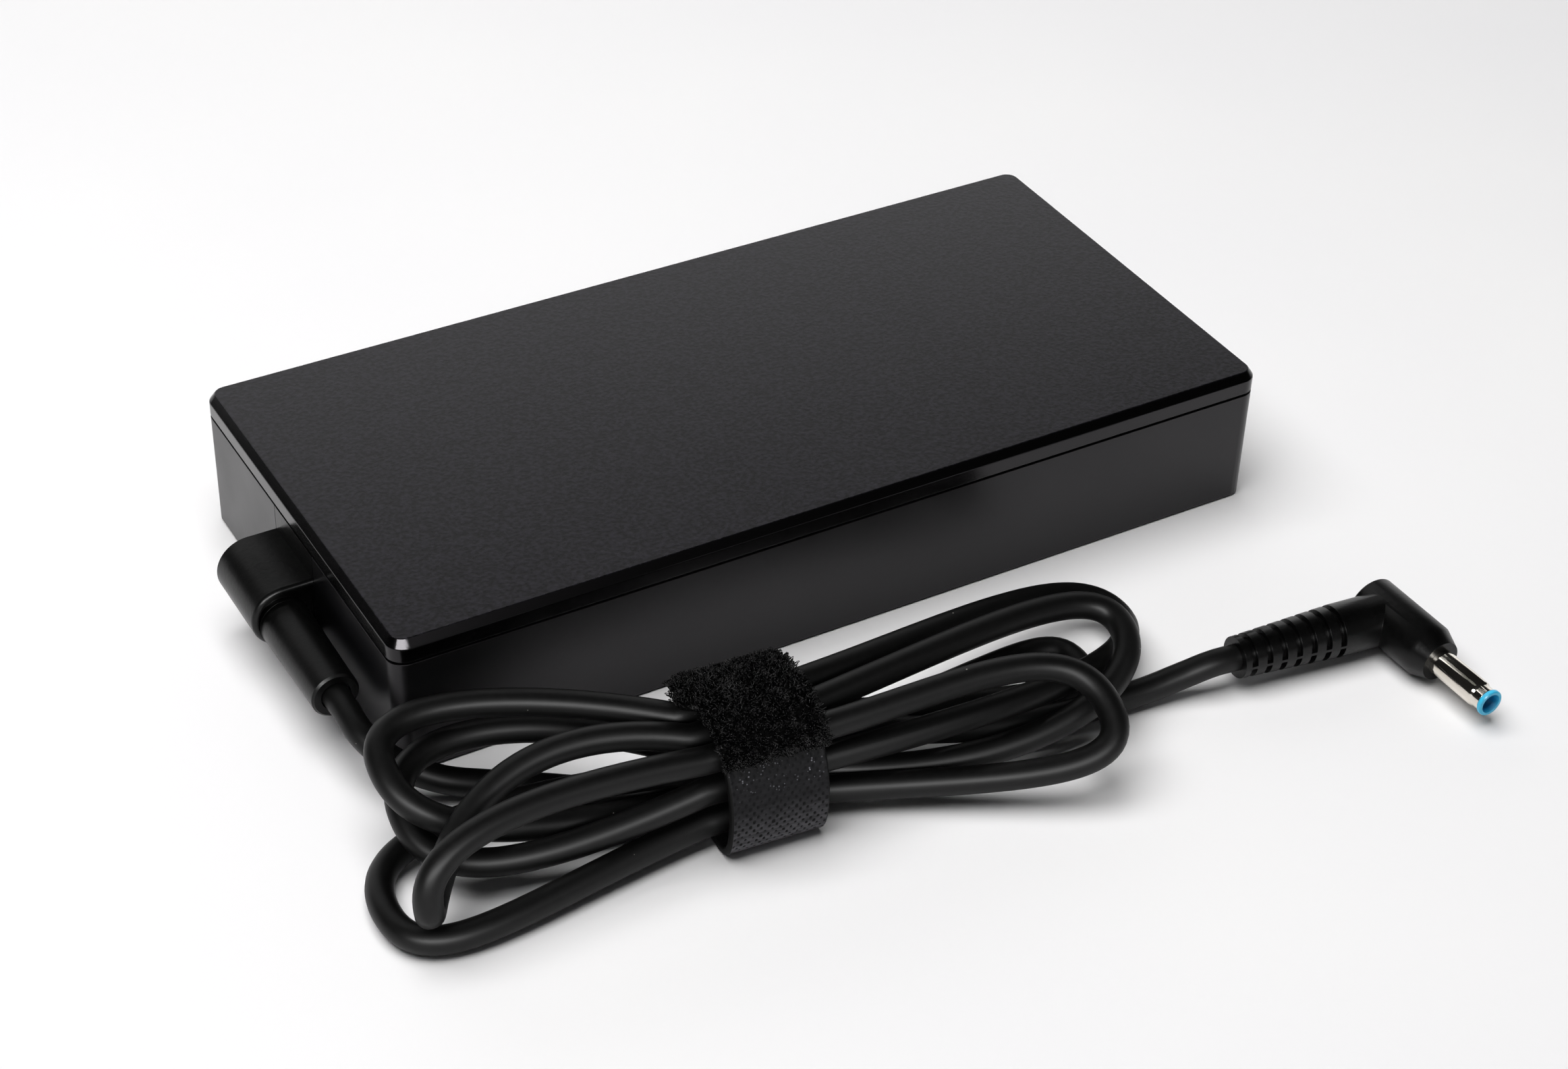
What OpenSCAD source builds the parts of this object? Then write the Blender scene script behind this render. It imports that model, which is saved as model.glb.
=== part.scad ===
// Laptop power adapter: a slim two-part housing with a mains inlet at one end
// and, at the other, an elbow strain relief, a hanked low-voltage cord held by
// a hook-and-loop strap, and a right-angle barrel plug with a ribbed relief.
// Millimetres. The housing stands on z = 0, centred on the origin, with its
// length along X: the cord leaves at -X and the mains inlet is at +X.

/* [Housing] */
// Length of the housing
body_length = 160; // [157:0.5:164]
// Width of the housing
body_width = 77; // [76:0.5:78]
// Height of the housing
body_height = 25.4; // [25:0.1:27]
// Wall thickness of the two shells
wall = 2.2; // [1.9:0.1:2.4]
// Radius of the upright corners
corner_radius = 3; // [2.4:0.1:6]
// Radius of the bottom edge
foot_radius = 0.6; // [0.3:0.1:1.5]
// Width of the polished chamfer round the top, seen from above
chamfer_width = 1; // [0.5:0.1:1.6]
// Height of the polished chamfer
chamfer_height = 1.4; // [0.6:0.1:1.8]
// Height of the upright band below the chamfer
band_height = 2.5; // [2.2:0.1:3]
// Height of the shadow groove between the shells
groove_height = 0.4; // [0.2:0.05:0.6]
// Depth of the shadow groove
groove_depth = 1.1; // [0.8:0.1:1.3]

/* [Mains inlet] */
// Width of the inlet's body
inlet_width = 27.6; // [26:0.2:30]
// Height of the inlet's body
inlet_height = 19.6; // [19:0.2:20]
// Depth of the inlet's body
inlet_depth = 22; // [20:0.5:25]
// Width of the recess that takes the connector
recess_width = 24.2; // [23.4:0.1:24.4]
// Height of the recess
recess_height = 16.4; // [15.8:0.1:16.6]
// Depth of the recess
recess_depth = 17; // [16:0.5:18]
// Chamfer of the recess's two upper corners
recess_chamfer = 4.5; // [3:0.5:6]
// Distance between the line and neutral pins
pin_spacing = 14; // [13:0.5:14]
// Rise of the earth pin above the other two
earth_rise = 4; // [4:0.5:5]
// Width of a pin
pin_width = 4; // [3.5:0.1:4]
// Thickness of a pin
pin_thick = 2; // [1.5:0.1:2.4]
// Set-back of the pins' ends inside the mouth
pin_setback = 1; // [0.5:0.5:3]

/* [Strain relief at the housing] */
// Radius of the D-shaped block's nose
block_radius = 5.5; // [5.2:0.1:5.8]
// Length of the block along the end face
block_length = 15.4; // [13:0.2:17]
// Reach of the nose's centre beyond the end face
block_reach = 5; // [4.7:0.1:6]
// Height of the nose's centre
block_height = 11; // [10.4:0.1:11.6]
// Rounding of the block's front lip
lip_radius = 0.8; // [0.5:0.1:1.2]
// Height of the sleeve's axis
sleeve_height = 10; // [9.8:0.1:10.4]
// Radius of the sleeve where it leaves the block
sleeve_root_radius = 4.2; // [4:0.1:4.3]
// Radius of the sleeve at its collar
sleeve_end_radius = 3.9; // [3.5:0.1:4.1]
// Length of the sleeve beyond the block
sleeve_length = 20.4; // [18:0.2:22]

/* [Cord and strap] */
// Diameter of the cord
cord_diameter = 4.4; // [4:0.1:4.4]
// Width of the hook-and-loop strap
strap_width = 16; // [12:0.5:18]
// Thickness of the strap's band
band_thick = 1.2; // [0.8:0.1:1.3]
// Thickness of the strap's pile layer
pile_thick = 1.4; // [0.8:0.1:2]

/* [Plug] */
// Radius of the elbow
elbow_radius = 4.7; // [4.5:0.1:5.5]
// Length of the elbow behind the neck's axis
elbow_back = 4.3; // [3:0.1:6]
// Length from the neck's axis to the start of the nose
elbow_front = 10; // [8:0.5:14]
// Length of the tapered nose
nose_length = 3.2; // [2:0.2:5]
// Radius of the nose's front face
nose_radius = 3.5; // [3:0.1:4.2]
// Radius of the neck
neck_radius = 4.4; // [4:0.1:4.5]
// Length from the elbow's axis to the ribbed relief
neck_length = 10.2; // [7:0.2:11]
// Radius of the relief where the cord enters
relief_end_radius = 3.45; // [3:0.05:3.8]
// Number of slots in the relief
slot_count = 7; // [3:1:7]
// Distance from one slot to the next
slot_pitch = 2.7; // [2.2:0.05:2.9]
// Width of a slot
slot_width = 1.05; // [0.5:0.05:1.3]
// Radius of the core inside the slots
slot_core_radius = 2.75; // [2.6:0.05:2.9]
// Height of the web that bridges the slots at the parting line
slot_web = 0.5; // [0.3:0.1:2]
// Outside diameter of the metal barrel
barrel_diameter = 4.5; // [4.3:0.1:5.5]
// Bore of the metal barrel
barrel_bore = 3; // [2.6:0.1:3.2]
// Length of the barrel beyond the nose
barrel_length = 9.6; // [8:0.2:11]
// Thickness of the insulating ring's head at the tip
tip_length = 0.8; // [0.5:0.1:1.5]
// Diameter of the centre pin
centre_pin_diameter = 1; // [0.6:0.1:1.2]

/* [Circuit board] */
// Thickness of the circuit board
board_thick = 1.6; // [1:0.1:2]
// Height of the bosses under the board
boss_height = 3; // [2:0.1:3.5]
// Thickness of the insulating sheet on the floor
sheet_thick = 0.4; // [0.2:0.05:0.6]
// Thickness of the heat spreader under the cover
spreader_thick = 1; // [0.5:0.1:1.5]
// Thickness of the pads between spreader and cover
pad_thick = 0.8; // [0.5:0.1:1.5]
// Diameter of the large storage capacitors
bulk_diameter = 13; // [10:0.5:13]
// Length of the large storage capacitors
bulk_length = 30; // [24:1:32]
// Diameter of the output capacitors
output_diameter = 10; // [6:0.5:11]
// Length of the transformer
transformer_length = 28; // [22:1:30]
// Width of the transformer
transformer_width = 25; // [20:1:27]
// Length of the storage inductor
inductor_length = 22; // [18:1:24]
// Width of the storage inductor
inductor_width = 20; // [16:1:22]
// Outside diameter of the filter chokes' cores
choke_diameter = 16; // [14:0.5:17]

/* [Hidden] */
$fn = 64;

fit = 0.1;          // clearance between mating pieces
eps = 0.01;         // overrun that opens a cut cleanly
end_x = body_length / 2;

// ---- heights inside the housing
seam_z = body_height - chamfer_height - band_height;
rim_z = seam_z - groove_height;
tongue_height = 1.4;
tongue_z = rim_z + tongue_height;
board_z = wall + boss_height;
board_top = board_z + board_thick;
pad_z = body_height - wall - pad_thick;
spreader_z = pad_z - spreader_thick;
tall_height = spreader_z - board_top;

// ---- the mains inlet
inlet_z = body_height / 2;
inlet_flange = 1;
inlet_flange_thick = 1.6;
pin_tail = 4;

// ---- the strain relief at the housing
block_end_y = 8.3;
block_front_y = block_end_y - block_length;
sleeve_x = -end_x - block_reach - 0.2;
sleeve_end_y = block_front_y - sleeve_length;
lip_recess = 1;
collar_seat = 1;
collar_rim = 0.35;

// ---- the cord: strap centre on the table, and the hank's slight turn
cord_radius = cord_diameter / 2;
hank_centre = [-36.4, -68.6];
hank_turn = -4.5;
pass_half = 9.5;        // half length of each straight pass through the strap
column_step = 5.4;      // passes lie in three columns and three rows
row_step = 6.2;
lowest_row = 3.9;

// ---- the plug's corner, where the axes of neck and elbow cross
plug_corner = [75.5, -82.5, elbow_radius + 0.05];
plug_turn = -5.2;       // heading of the neck
plug_pitch = 0.9;       // the neck rises by this angle towards the cord
plug_bend = -84;        // turn from the neck to the barrel
slot_start = 1.6;       // middle of the first slot
slot_end = 1;           // from the middle of the last slot to the neck
relief_length = slot_start + (slot_count - 1) * slot_pitch + slot_end;
neck_way = [cos(plug_turn) * cos(plug_pitch), sin(plug_turn) * cos(plug_pitch), -sin(plug_pitch)];
relief_entry = plug_corner - (neck_length + relief_length) * neck_way;

// ---------------------------------------------------------------- helpers

// Upright block with rounded corners, centred in plan
module round_block(length, width, radius, height) {
    linear_extrude(height)
        union() {
            square([length - 2 * radius, width], center = true);
            square([length, width - 2 * radius], center = true);
            for (sx = [-1, 1], sy = [-1, 1])
                translate([sx * (length / 2 - radius), sy * (width / 2 - radius)])
                    circle(radius);
        }
}

// Upright profile whose two lower corners are rounded
module tub_profile(width, height, radius) {
    translate([-width / 2, radius])
        square([width, height - radius]);
    translate([-width / 2 + radius, 0])
        square([width - 2 * radius, height]);
    for (side = [-1, 1])
        translate([side * (width / 2 - radius), radius])
            circle(radius);
}

// Trapezoid that narrows by run on each side over its rise
module chamfer_profile(width, run, rise) {
    polygon([
        [-width / 2, 0], [width / 2, 0],
        [width / 2 - run, rise], [-width / 2 + run, rise]
    ]);
}

// Box given by two opposite corners
module span_box(low, high) {
    translate(low)
        cube(high - low);
}

// Ring on z = 0 with a rectangular section
module ring(outer, inner, height) {
    difference() {
        cylinder(r = outer, h = height);
        translate([0, 0, -eps])
            cylinder(r = inner, h = height + 2 * eps);
    }
}

// Cylinder from one point to another, both in the same level or upright plane
module rod(start, stop, radius) {
    way = stop - start;
    reach = norm(way);
    translate(start)
        rotate([0, acos(way[2] / reach), atan2(way[1], way[0])])
            cylinder(r = radius, h = reach, $fn = 24);
}

// ---------------------------------------------------------------- housing

// Opening in the end wall and room behind it that both shells leave for the
// mains inlet and its flange
module inlet_cut() {
    half_y = inlet_width / 2 + fit;
    half_z = inlet_height / 2 + fit;
    span_box([end_x - wall - 1, -half_y, inlet_z - half_z],
             [end_x + 1, half_y, inlet_z + half_z]);
    span_box([end_x - inlet_depth - fit, -half_y - inlet_flange, inlet_z - half_z],
             [end_x - wall, half_y + inlet_flange, inlet_z + half_z]);
}

// Notch in the end wall that the strain relief drops into
module relief_notch() {
    span_box([-end_x - 1, block_front_y, block_height - block_radius],
             [-end_x + wall + 1, block_end_y, body_height]);
}

module housing_tub() {
    intersection() {
        round_block(body_length, body_width, corner_radius, rim_z);
        rotate([90, 0, 0])
            linear_extrude(body_width + 2, center = true)
                tub_profile(body_length, rim_z, foot_radius);
        rotate([90, 0, 90])
            linear_extrude(body_length + 2, center = true)
                tub_profile(body_width, rim_z, foot_radius);
    }
}

// The board lies between the strain relief's flange and the inlet's wires, on
// four bosses, each with a stake through it
board_cord_gap = 6;
board_inlet_gap = 27;
board_side_gap = 2.3;
board_low_x = -end_x + board_cord_gap;
board_high_x = end_x - board_inlet_gap;
board_half_y = body_width / 2 - wall - board_side_gap;
boss_radius = 2.6;
boss_low_inset = 8;
boss_high_inset = 3;
boss_side_inset = 5;
stake_radius = 1.3;
stake_rise = 0.6;
boss_places = [
    for (x = [board_low_x + boss_low_inset, board_high_x - boss_high_inset], side = [-1, 1])
        [x, side * (board_half_y - boss_side_inset)]
];

module bosses(radius, low, high) {
    for (place = boss_places)
        translate([place[0], place[1], low])
            cylinder(r = radius, h = high - low, $fn = 32);
}

module lower_housing() {
    inner_length = body_length - 2 * wall;
    inner_width = body_width - 2 * wall;
    inner_radius = max(corner_radius - wall, 0.3);
    tongue = wall - groove_depth;
    color([0.09, 0.09, 0.1])
        difference() {
            union() {
                difference() {
                    housing_tub();
                    translate([0, 0, wall])
                        round_block(inner_length, inner_width, inner_radius, body_height);
                }
                // tongue that stands up inside the cover's rim
                translate([0, 0, rim_z - tongue_height])
                    difference() {
                        round_block(inner_length + 2 * tongue - 2 * fit, inner_width + 2 * tongue - 2 * fit,
                                    inner_radius + tongue - fit, 2 * tongue_height);
                        translate([0, 0, -1])
                            round_block(inner_length, inner_width, inner_radius, body_height);
                    }
                bosses(boss_radius, wall - eps, board_z);
                bosses(stake_radius, board_z - eps, board_top + stake_rise);
            }
            inlet_cut();
            relief_notch();
        }
}

// Rim, polished band and chamfer of the cover, all round
module cover_blank() {
    length = body_length;
    width = body_width;
    translate([0, 0, seam_z])
        round_block(length, width, corner_radius, band_height);
    translate([0, 0, seam_z + band_height]) {
        rotate([90, 0, 0])
            linear_extrude(width - 2 * corner_radius, center = true)
                chamfer_profile(length, chamfer_width, chamfer_height);
        rotate([90, 0, 90])
            linear_extrude(length - 2 * corner_radius, center = true)
                chamfer_profile(width, chamfer_width, chamfer_height);
        for (sx = [-1, 1], sy = [-1, 1])
            translate([sx * (length / 2 - corner_radius), sy * (width / 2 - corner_radius), 0])
                cylinder(r1 = corner_radius, r2 = corner_radius - chamfer_width, h = chamfer_height);
    }
}

module top_cover() {
    inner_length = body_length - 2 * wall;
    inner_width = body_width - 2 * wall;
    inner_radius = max(corner_radius - wall, 0.3);
    tongue = wall - groove_depth;
    color([0.16, 0.16, 0.17])
        difference() {
            cover_blank();
            translate([0, 0, seam_z - 1])
                round_block(inner_length, inner_width, inner_radius, body_height - wall - seam_z + 1);
            translate([0, 0, seam_z - 1])
                round_block(inner_length + 2 * tongue, inner_width + 2 * tongue,
                            inner_radius + tongue, tongue_z + fit - seam_z + 1);
            inlet_cut();
        }
}

// ------------------------------------------------------------ mains inlet

// Outline of the recess, with its two upper corners cut off
module recess_outline() {
    w = recess_width / 2;
    h = recess_height / 2;
    polygon([
        [-w, -h], [w, -h], [w, h - recess_chamfer], [w - recess_chamfer, h],
        [-w + recess_chamfer, h], [-w, h - recess_chamfer]
    ]);
}

// Places of the three pins, in the inlet's own Y and Z
pin_places = [
    [-pin_spacing / 2, -earth_rise / 2],
    [pin_spacing / 2, -earth_rise / 2],
    [0, earth_rise / 2]
];

module pin_blades(from_x, to_x, gap) {
    for (place = pin_places)
        translate([(from_x + to_x) / 2, place[0], inlet_z + place[1]])
            cube([to_x - from_x, pin_thick + 2 * gap, pin_width + 2 * gap], center = true);
}

module inlet_body() {
    back_x = end_x - inlet_depth;
    color([0.05, 0.05, 0.06])
        difference() {
            union() {
                translate([(back_x + end_x) / 2, 0, inlet_z])
                    cube([inlet_depth, inlet_width, inlet_height], center = true);
                // flange that holds the inlet behind the end wall
                translate([end_x - wall - fit - inlet_flange_thick / 2, 0, inlet_z])
                    cube([inlet_flange_thick, inlet_width + 2 * inlet_flange, inlet_height], center = true);
            }
            translate([end_x - recess_depth, 0, inlet_z])
                rotate([90, 0, 90])
                    linear_extrude(recess_depth + 1)
                        recess_outline();
            pin_blades(back_x - 1, end_x - recess_depth + 1, fit / 2);
        }
}

module inlet_pins() {
    color([0.72, 0.72, 0.7])
        pin_blades(end_x - inlet_depth - pin_tail, end_x - pin_setback, 0);
}

// Two wires from the pins' tails down to the board
module inlet_wires() {
    tail_x = end_x - inlet_depth - pin_tail;
    land_x = min(tail_x - 1.5 * wire_radius, board_high_x - 2 * wire_radius);
    color([0.5, 0.15, 0.12])
        for (side = [-1, 1]) {
            y = side * pin_spacing / 2;
            rod([land_x, y, board_top], [land_x, y, inlet_z - earth_rise / 2 + wire_radius], wire_radius);
            rod([land_x, y, inlet_z - earth_rise / 2], [tail_x, y, inlet_z - earth_rise / 2], wire_radius);
        }
}

// ------------------------------------------------------ board and its parts

// Floor-shaped plate under or in the board's outline
module board_plate(low, thick) {
    span_box([board_low_x, -board_half_y, low], [board_high_x, board_half_y, low + thick]);
}

module insulating_sheet() {
    color([0.85, 0.82, 0.7])
        difference() {
            board_plate(wall, sheet_thick);
            bosses(boss_radius + 0.3, wall - 1, board_z + 1);
        }
}

module main_board() {
    color([0.1, 0.35, 0.2])
        difference() {
            board_plate(board_z, board_thick);
            bosses(stake_radius + fit, board_z - 1, board_top + 1);
        }
}

// Puts a part on the board at x and y
module on_board(x, y) {
    translate([x, y, board_top])
        children();
}

// Place along the board, as a share of its length from the cord's end
function along(share) = board_low_x + share * (board_high_x - board_low_x);

wire_radius = 1;
winding_thick = 1.2;
part_gap = 1.1;             // free space between neighbours on the board

// Front row, from the inlet inwards: fuse, choke, rectifier, heat sink
front_row_inset = 14;
front_row = -board_half_y + front_row_inset;
fuse_radius = 2.6;
fuse_cap_radius = 2.75;
fuse_cap_length = 5;
fuse_length = 18;
choke_setback = 21;
choke_x = board_high_x - choke_setback;
fuse_x = choke_x + choke_diameter / 2 + winding_thick + part_gap + fuse_cap_radius;
fuse_y = front_row + 1.5;
sink_thick = 1.5;
sink_half = 12;
sink_lip = 7;
sink_setback = 37;
sink_x = board_high_x - sink_setback;
transistor_thick = 4.4;
transistor_width = 10;

// Closed cylinder lying on its side along Y, with end caps of another radius
module fuse() {
    color([0.85, 0.83, 0.78])
        on_board(fuse_x, fuse_y)
            translate([0, 0, fuse_cap_radius])
                rotate([90, 0, 0]) {
                    cylinder(r = fuse_radius, h = fuse_length, center = true);
                    for (side = [-1, 1])
                        translate([0, 0, side * (fuse_length - fuse_cap_length) / 2])
                            cylinder(r = fuse_cap_radius, h = fuse_cap_length, center = true);
                }
}

film_length = 18;
film_width = 9;
film_height = 13;
film_setback = 15;
film_inset = 2;

module filter_capacitor() {
    color([0.8, 0.65, 0.15])
        on_board(board_high_x - film_setback, board_half_y - film_inset - film_width / 2)
            span_box([-film_length / 2, -film_width / 2, 0], [film_length / 2, film_width / 2, film_height]);
}

// Two ring cores lie flat on the board
choke_outer = choke_diameter / 2;
choke_wall = 4.2;
choke_inner = choke_outer - choke_wall;
choke_height = 8;
choke_lift = 1.6;
choke_places = [
    [choke_x, front_row],
    [along(0.78), board_half_y - film_width - film_inset - part_gap - choke_outer - winding_thick]
];

module filter_choke_cores() {
    color([0.25, 0.4, 0.25])
        for (place = choke_places)
            on_board(place[0], place[1])
                translate([0, 0, choke_lift])
                    ring(choke_outer, choke_inner, choke_height);
}

module filter_choke_windings() {
    span = 130;
    color([0.72, 0.42, 0.2])
        for (place = choke_places, half = [0, 1])
            on_board(place[0], place[1])
                rotate([0, 0, half * 180 - span / 2])
                    difference() {
                        rotate_extrude(angle = span)
                            translate([choke_inner - winding_thick, 0])
                                square([choke_outer - choke_inner + 2 * winding_thick,
                                        choke_lift + choke_height + winding_thick]);
                        translate([0, 0, choke_lift - fit / 2])
                            ring(choke_outer + fit / 2, choke_inner - fit / 2, choke_height + fit);
                    }
}

module primary_heat_sink() {
    color([0.7, 0.72, 0.74])
        on_board(sink_x, front_row) {
            span_box([0, -sink_half, 0], [sink_thick, sink_half, tall_height]);
            span_box([0, -sink_half, tall_height - sink_thick], [sink_lip, sink_half, tall_height]);
        }
}

bridge_thick = 3.4;
bridge_width = 18;
bridge_headroom = 0.7;

module bridge_rectifier() {
    top = tall_height - sink_thick - bridge_headroom;
    color([0.08, 0.08, 0.09])
        on_board(sink_x + sink_thick, front_row - 2)
            span_box([0, -bridge_width / 2, 0], [bridge_thick, bridge_width / 2, top]);
}

module power_transistors() {
    spacing = sink_half + 2;
    half = transistor_width / 2;
    color([0.1, 0.1, 0.1])
        for (side = [-1, 1])
            on_board(sink_x, front_row + side * spacing / 2)
                span_box([-transistor_thick, -half, 0], [0, half, tall_height - 1]);
}

// Pot-shaped core: two end plates and two legs round a wound middle
module ferrite_core(length, width, leg) {
    difference() {
        span_box([-length / 2, -width / 2, 0], [length / 2, width / 2, tall_height]);
        span_box([-length / 2 + leg, -width, leg], [length / 2 - leg, width, tall_height - leg]);
    }
    translate([0, 0, leg / 2])
        cylinder(r = width / 4, h = tall_height - leg);
}

// Winding round the middle leg, tight between the end plates
module core_winding(length, width, leg) {
    gap = fit / 2;
    difference() {
        translate([0, 0, leg + gap])
            round_block(length - 2 * leg - 2 * gap, width + 4, 4, tall_height - 2 * leg - 2 * gap);
        cylinder(r = width / 4 + gap, h = tall_height);
    }
}

core_leg = 3.4;
inductor_place = [along(0.551), 12];
transformer_place = [along(0.315), -5];

module inductor_core() {
    color([0.2, 0.2, 0.22])
        on_board(inductor_place[0], inductor_place[1])
            ferrite_core(inductor_length, inductor_width, core_leg);
}

module inductor_winding() {
    color([0.75, 0.45, 0.2])
        on_board(inductor_place[0], inductor_place[1])
            core_winding(inductor_length, inductor_width, core_leg);
}

module transformer_core() {
    color([0.2, 0.2, 0.22])
        on_board(transformer_place[0], transformer_place[1])
            ferrite_core(transformer_length, transformer_width, core_leg);
}

module transformer_winding() {
    color([0.85, 0.75, 0.2])
        on_board(transformer_place[0], transformer_place[1])
            core_winding(transformer_length, transformer_width, core_leg);
}

// Two storage capacitors lie on their sides along the board's edges, one ending
// at the inductor and one at the transistors, with a rolled groove near the vent
bulk_inset = 1;
bulk_groove = 0.5;          // depth of the rolled groove
bulk_groove_from = 1.6;     // the groove's place, from the vent's end
bulk_groove_to = 3;
bulk_y = board_half_y - bulk_inset - bulk_diameter / 2;
bulk_places = [
    [inductor_place[0] - inductor_length / 2 - part_gap, bulk_y],
    [sink_x - transistor_thick - part_gap, -bulk_y]
];

module bulk_capacitors() {
    radius = bulk_diameter / 2;
    groove_floor = radius - bulk_groove;
    low = bulk_length - bulk_groove_to;
    high = bulk_length - bulk_groove_from;
    slope = bulk_groove;
    color([0.1, 0.12, 0.2])
        for (place = bulk_places)
            on_board(place[0] - bulk_length, place[1])
                translate([0, 0, radius])
                    rotate([0, 90, 0])
                        rotate_extrude()
                            polygon([
                                [0, 0], [radius, 0], [radius, low], [groove_floor, low + slope],
                                [groove_floor, high - slope], [radius, high],
                                [radius, bulk_length], [0, bulk_length]
                            ]);
}

output_height = 13;
output_spacing = 12;
output_middle = -9;

module output_capacitors() {
    color([0.12, 0.15, 0.3])
        for (step = [-1 : 1])
            on_board(along(0.126), output_middle + step * output_spacing)
                cylinder(d = output_diameter, h = output_height);
}

output_choke_radius = 7.5;
output_choke_bore = 3;
output_choke_height = 9;

module output_choke() {
    color([0.45, 0.3, 0.18])
        on_board(along(0.11), board_half_y - 14)
            ring(output_choke_radius, output_choke_bore, output_choke_height);
}

// Chips: place along the board, y, half length and half width
chip_height = 1.6;
chips = [[0.417, 14.8, 3, 3], [0.673, 4, 2, 4], [0.22, 14, 4, 3], [0.866, -2, 3, 3]];

module control_chips() {
    color([0.05, 0.05, 0.05])
        for (chip = chips)
            on_board(along(chip[0]), chip[1])
                span_box([-chip[2], -chip[3], 0], [chip[2], chip[3], chip_height]);
}

// The spreader covers transformer, inductor and heat sink, between the capacitors
spreader_half_y = board_half_y - bulk_diameter - 3;
pad_half_x = 11;
pad_inset = 2;

module heat_spreader() {
    color([0.75, 0.76, 0.78])
        span_box([along(0.2), -spreader_half_y, spreader_z],
                 [along(0.725), spreader_half_y, spreader_z + spreader_thick]);
}

module thermal_pads() {
    half_y = spreader_half_y - pad_inset;
    color([0.6, 0.65, 0.75])
        for (x = [transformer_place[0], inductor_place[0]])
            span_box([x - pad_half_x, -half_y, pad_z], [x + pad_half_x, half_y, pad_z + pad_thick]);
}

// Two conductors from the strain relief's inner end to the board
module output_wires() {
    radius = 0.9;
    start_x = -end_x + wall + 1.8;
    land_x = start_x + 5;
    color([0.1, 0.1, 0.1])
        for (y = [-1.5, 1.5]) {
            rod([start_x, y, sleeve_height], [land_x, y, sleeve_height], radius);
            rod([land_x, y, sleeve_height + radius], [land_x, y, board_top], radius);
        }
}

// ------------------------------------------- strain relief at the housing

// D-shaped section: a round nose on the outside, flat towards the housing
module block_section(radius, inner_x) {
    translate([-end_x - block_reach, block_height])
        circle(radius);
    translate([-end_x - block_reach, block_height - radius])
        square([inner_x + end_x + block_reach, 2 * radius]);
}

// Extrudes a section drawn in X and Z from y = front to y = back
module along_y(front, back) {
    translate([0, back, 0])
        rotate([90, 0, 0])
            linear_extrude(back - front)
                children();
}

// Round edge of the block's front: a half ring at the nose and two straights
module block_lip() {
    translate([-end_x - block_reach, block_front_y + lip_radius, block_height]) {
        rotate([90, 0, 0])
            rotate([0, 0, 90])
                rotate_extrude(angle = 180)
                    translate([block_radius - lip_radius, 0])
                        circle(lip_radius, $fn = 32);
        for (side = [-1, 1])
            translate([0, 0, side * (block_radius - lip_radius)])
                rotate([0, 90, 0])
                    cylinder(r = lip_radius, h = block_reach, $fn = 32);
    }
}

module elbow_strain_relief() {
    plate_low = block_height - block_radius + fit;
    cord_hole = cord_radius + 0.25;
    color([0.08, 0.08, 0.09])
        difference() {
            union() {
                along_y(block_front_y + lip_radius, block_end_y)
                    block_section(block_radius, -end_x);
                along_y(block_front_y, block_front_y + lip_radius)
                    block_section(block_radius - lip_radius, -end_x);
                block_lip();
                // plate that fills the notch in the end wall, flush outside
                span_box([-end_x, block_front_y + fit, plate_low],
                         [-end_x + wall, block_end_y - fit, rim_z]);
                // flange inside the wall
                span_box([-end_x + wall + fit, block_front_y - 1, plate_low - 1],
                         [-end_x + wall + 1.8, block_end_y + 1, rim_z - 1]);
                span_box([-end_x + wall - 1, block_front_y + 1, plate_low + 1],
                         [-end_x + wall + 1, block_end_y - 1, rim_z - 2]);
                // sleeve, tapering towards its collar
                translate([sleeve_x, block_front_y + lip_recess + eps, sleeve_height])
                    rotate([90, 0, 0])
                        cylinder(r1 = sleeve_root_radius, r2 = sleeve_end_radius,
                                 h = sleeve_length + lip_recess - collar_rim);
                translate([sleeve_x, sleeve_end_y + collar_rim + eps, sleeve_height])
                    rotate([90, 0, 0])
                        cylinder(r1 = sleeve_end_radius, r2 = sleeve_end_radius - collar_rim,
                                 h = collar_rim);
            }
            // recess round the sleeve, behind the lip
            difference() {
                along_y(block_front_y - 1, block_front_y + lip_recess)
                    block_section(block_radius - 1.2 * lip_radius, -end_x - fit);
                translate([sleeve_x, block_front_y + lip_recess + 1, sleeve_height])
                    rotate([90, 0, 0])
                        cylinder(r = sleeve_root_radius, h = lip_recess + 3);
            }
            // hole in the collar, where the cord ends against its floor
            translate([sleeve_x, sleeve_end_y + collar_seat, sleeve_height])
                rotate([90, 0, 0])
                    cylinder(r = cord_hole, h = collar_seat + 1);
        }
}

// ----------------------------------------------------------------- the cord

// Point of the hank's own axes, placed on the table
function at_hank(p) = [
    hank_centre[0] + p[0] * cos(hank_turn) - p[1] * sin(hank_turn),
    hank_centre[1] + p[0] * sin(hank_turn) + p[1] * cos(hank_turn),
    p[2]
];
hank_way = [cos(hank_turn), sin(hank_turn), 0];

// End of the pass in a column (0 back, 1 middle, 2 front) and a row (0 lowest)
function pass_end(place, side) = at_hank([
    side * pass_half, (1 - place[0]) * column_step, lowest_row + place[1] * row_step
]);

function bezier(a, b, c, d, t) =
    pow(1 - t, 3) * a + 3 * t * pow(1 - t, 2) * b + 3 * t * t * (1 - t) * c + pow(t, 3) * d;
function unit(v) = v / norm(v);
function turned(degrees, rise) = [cos(degrees), sin(degrees), rise];

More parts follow.
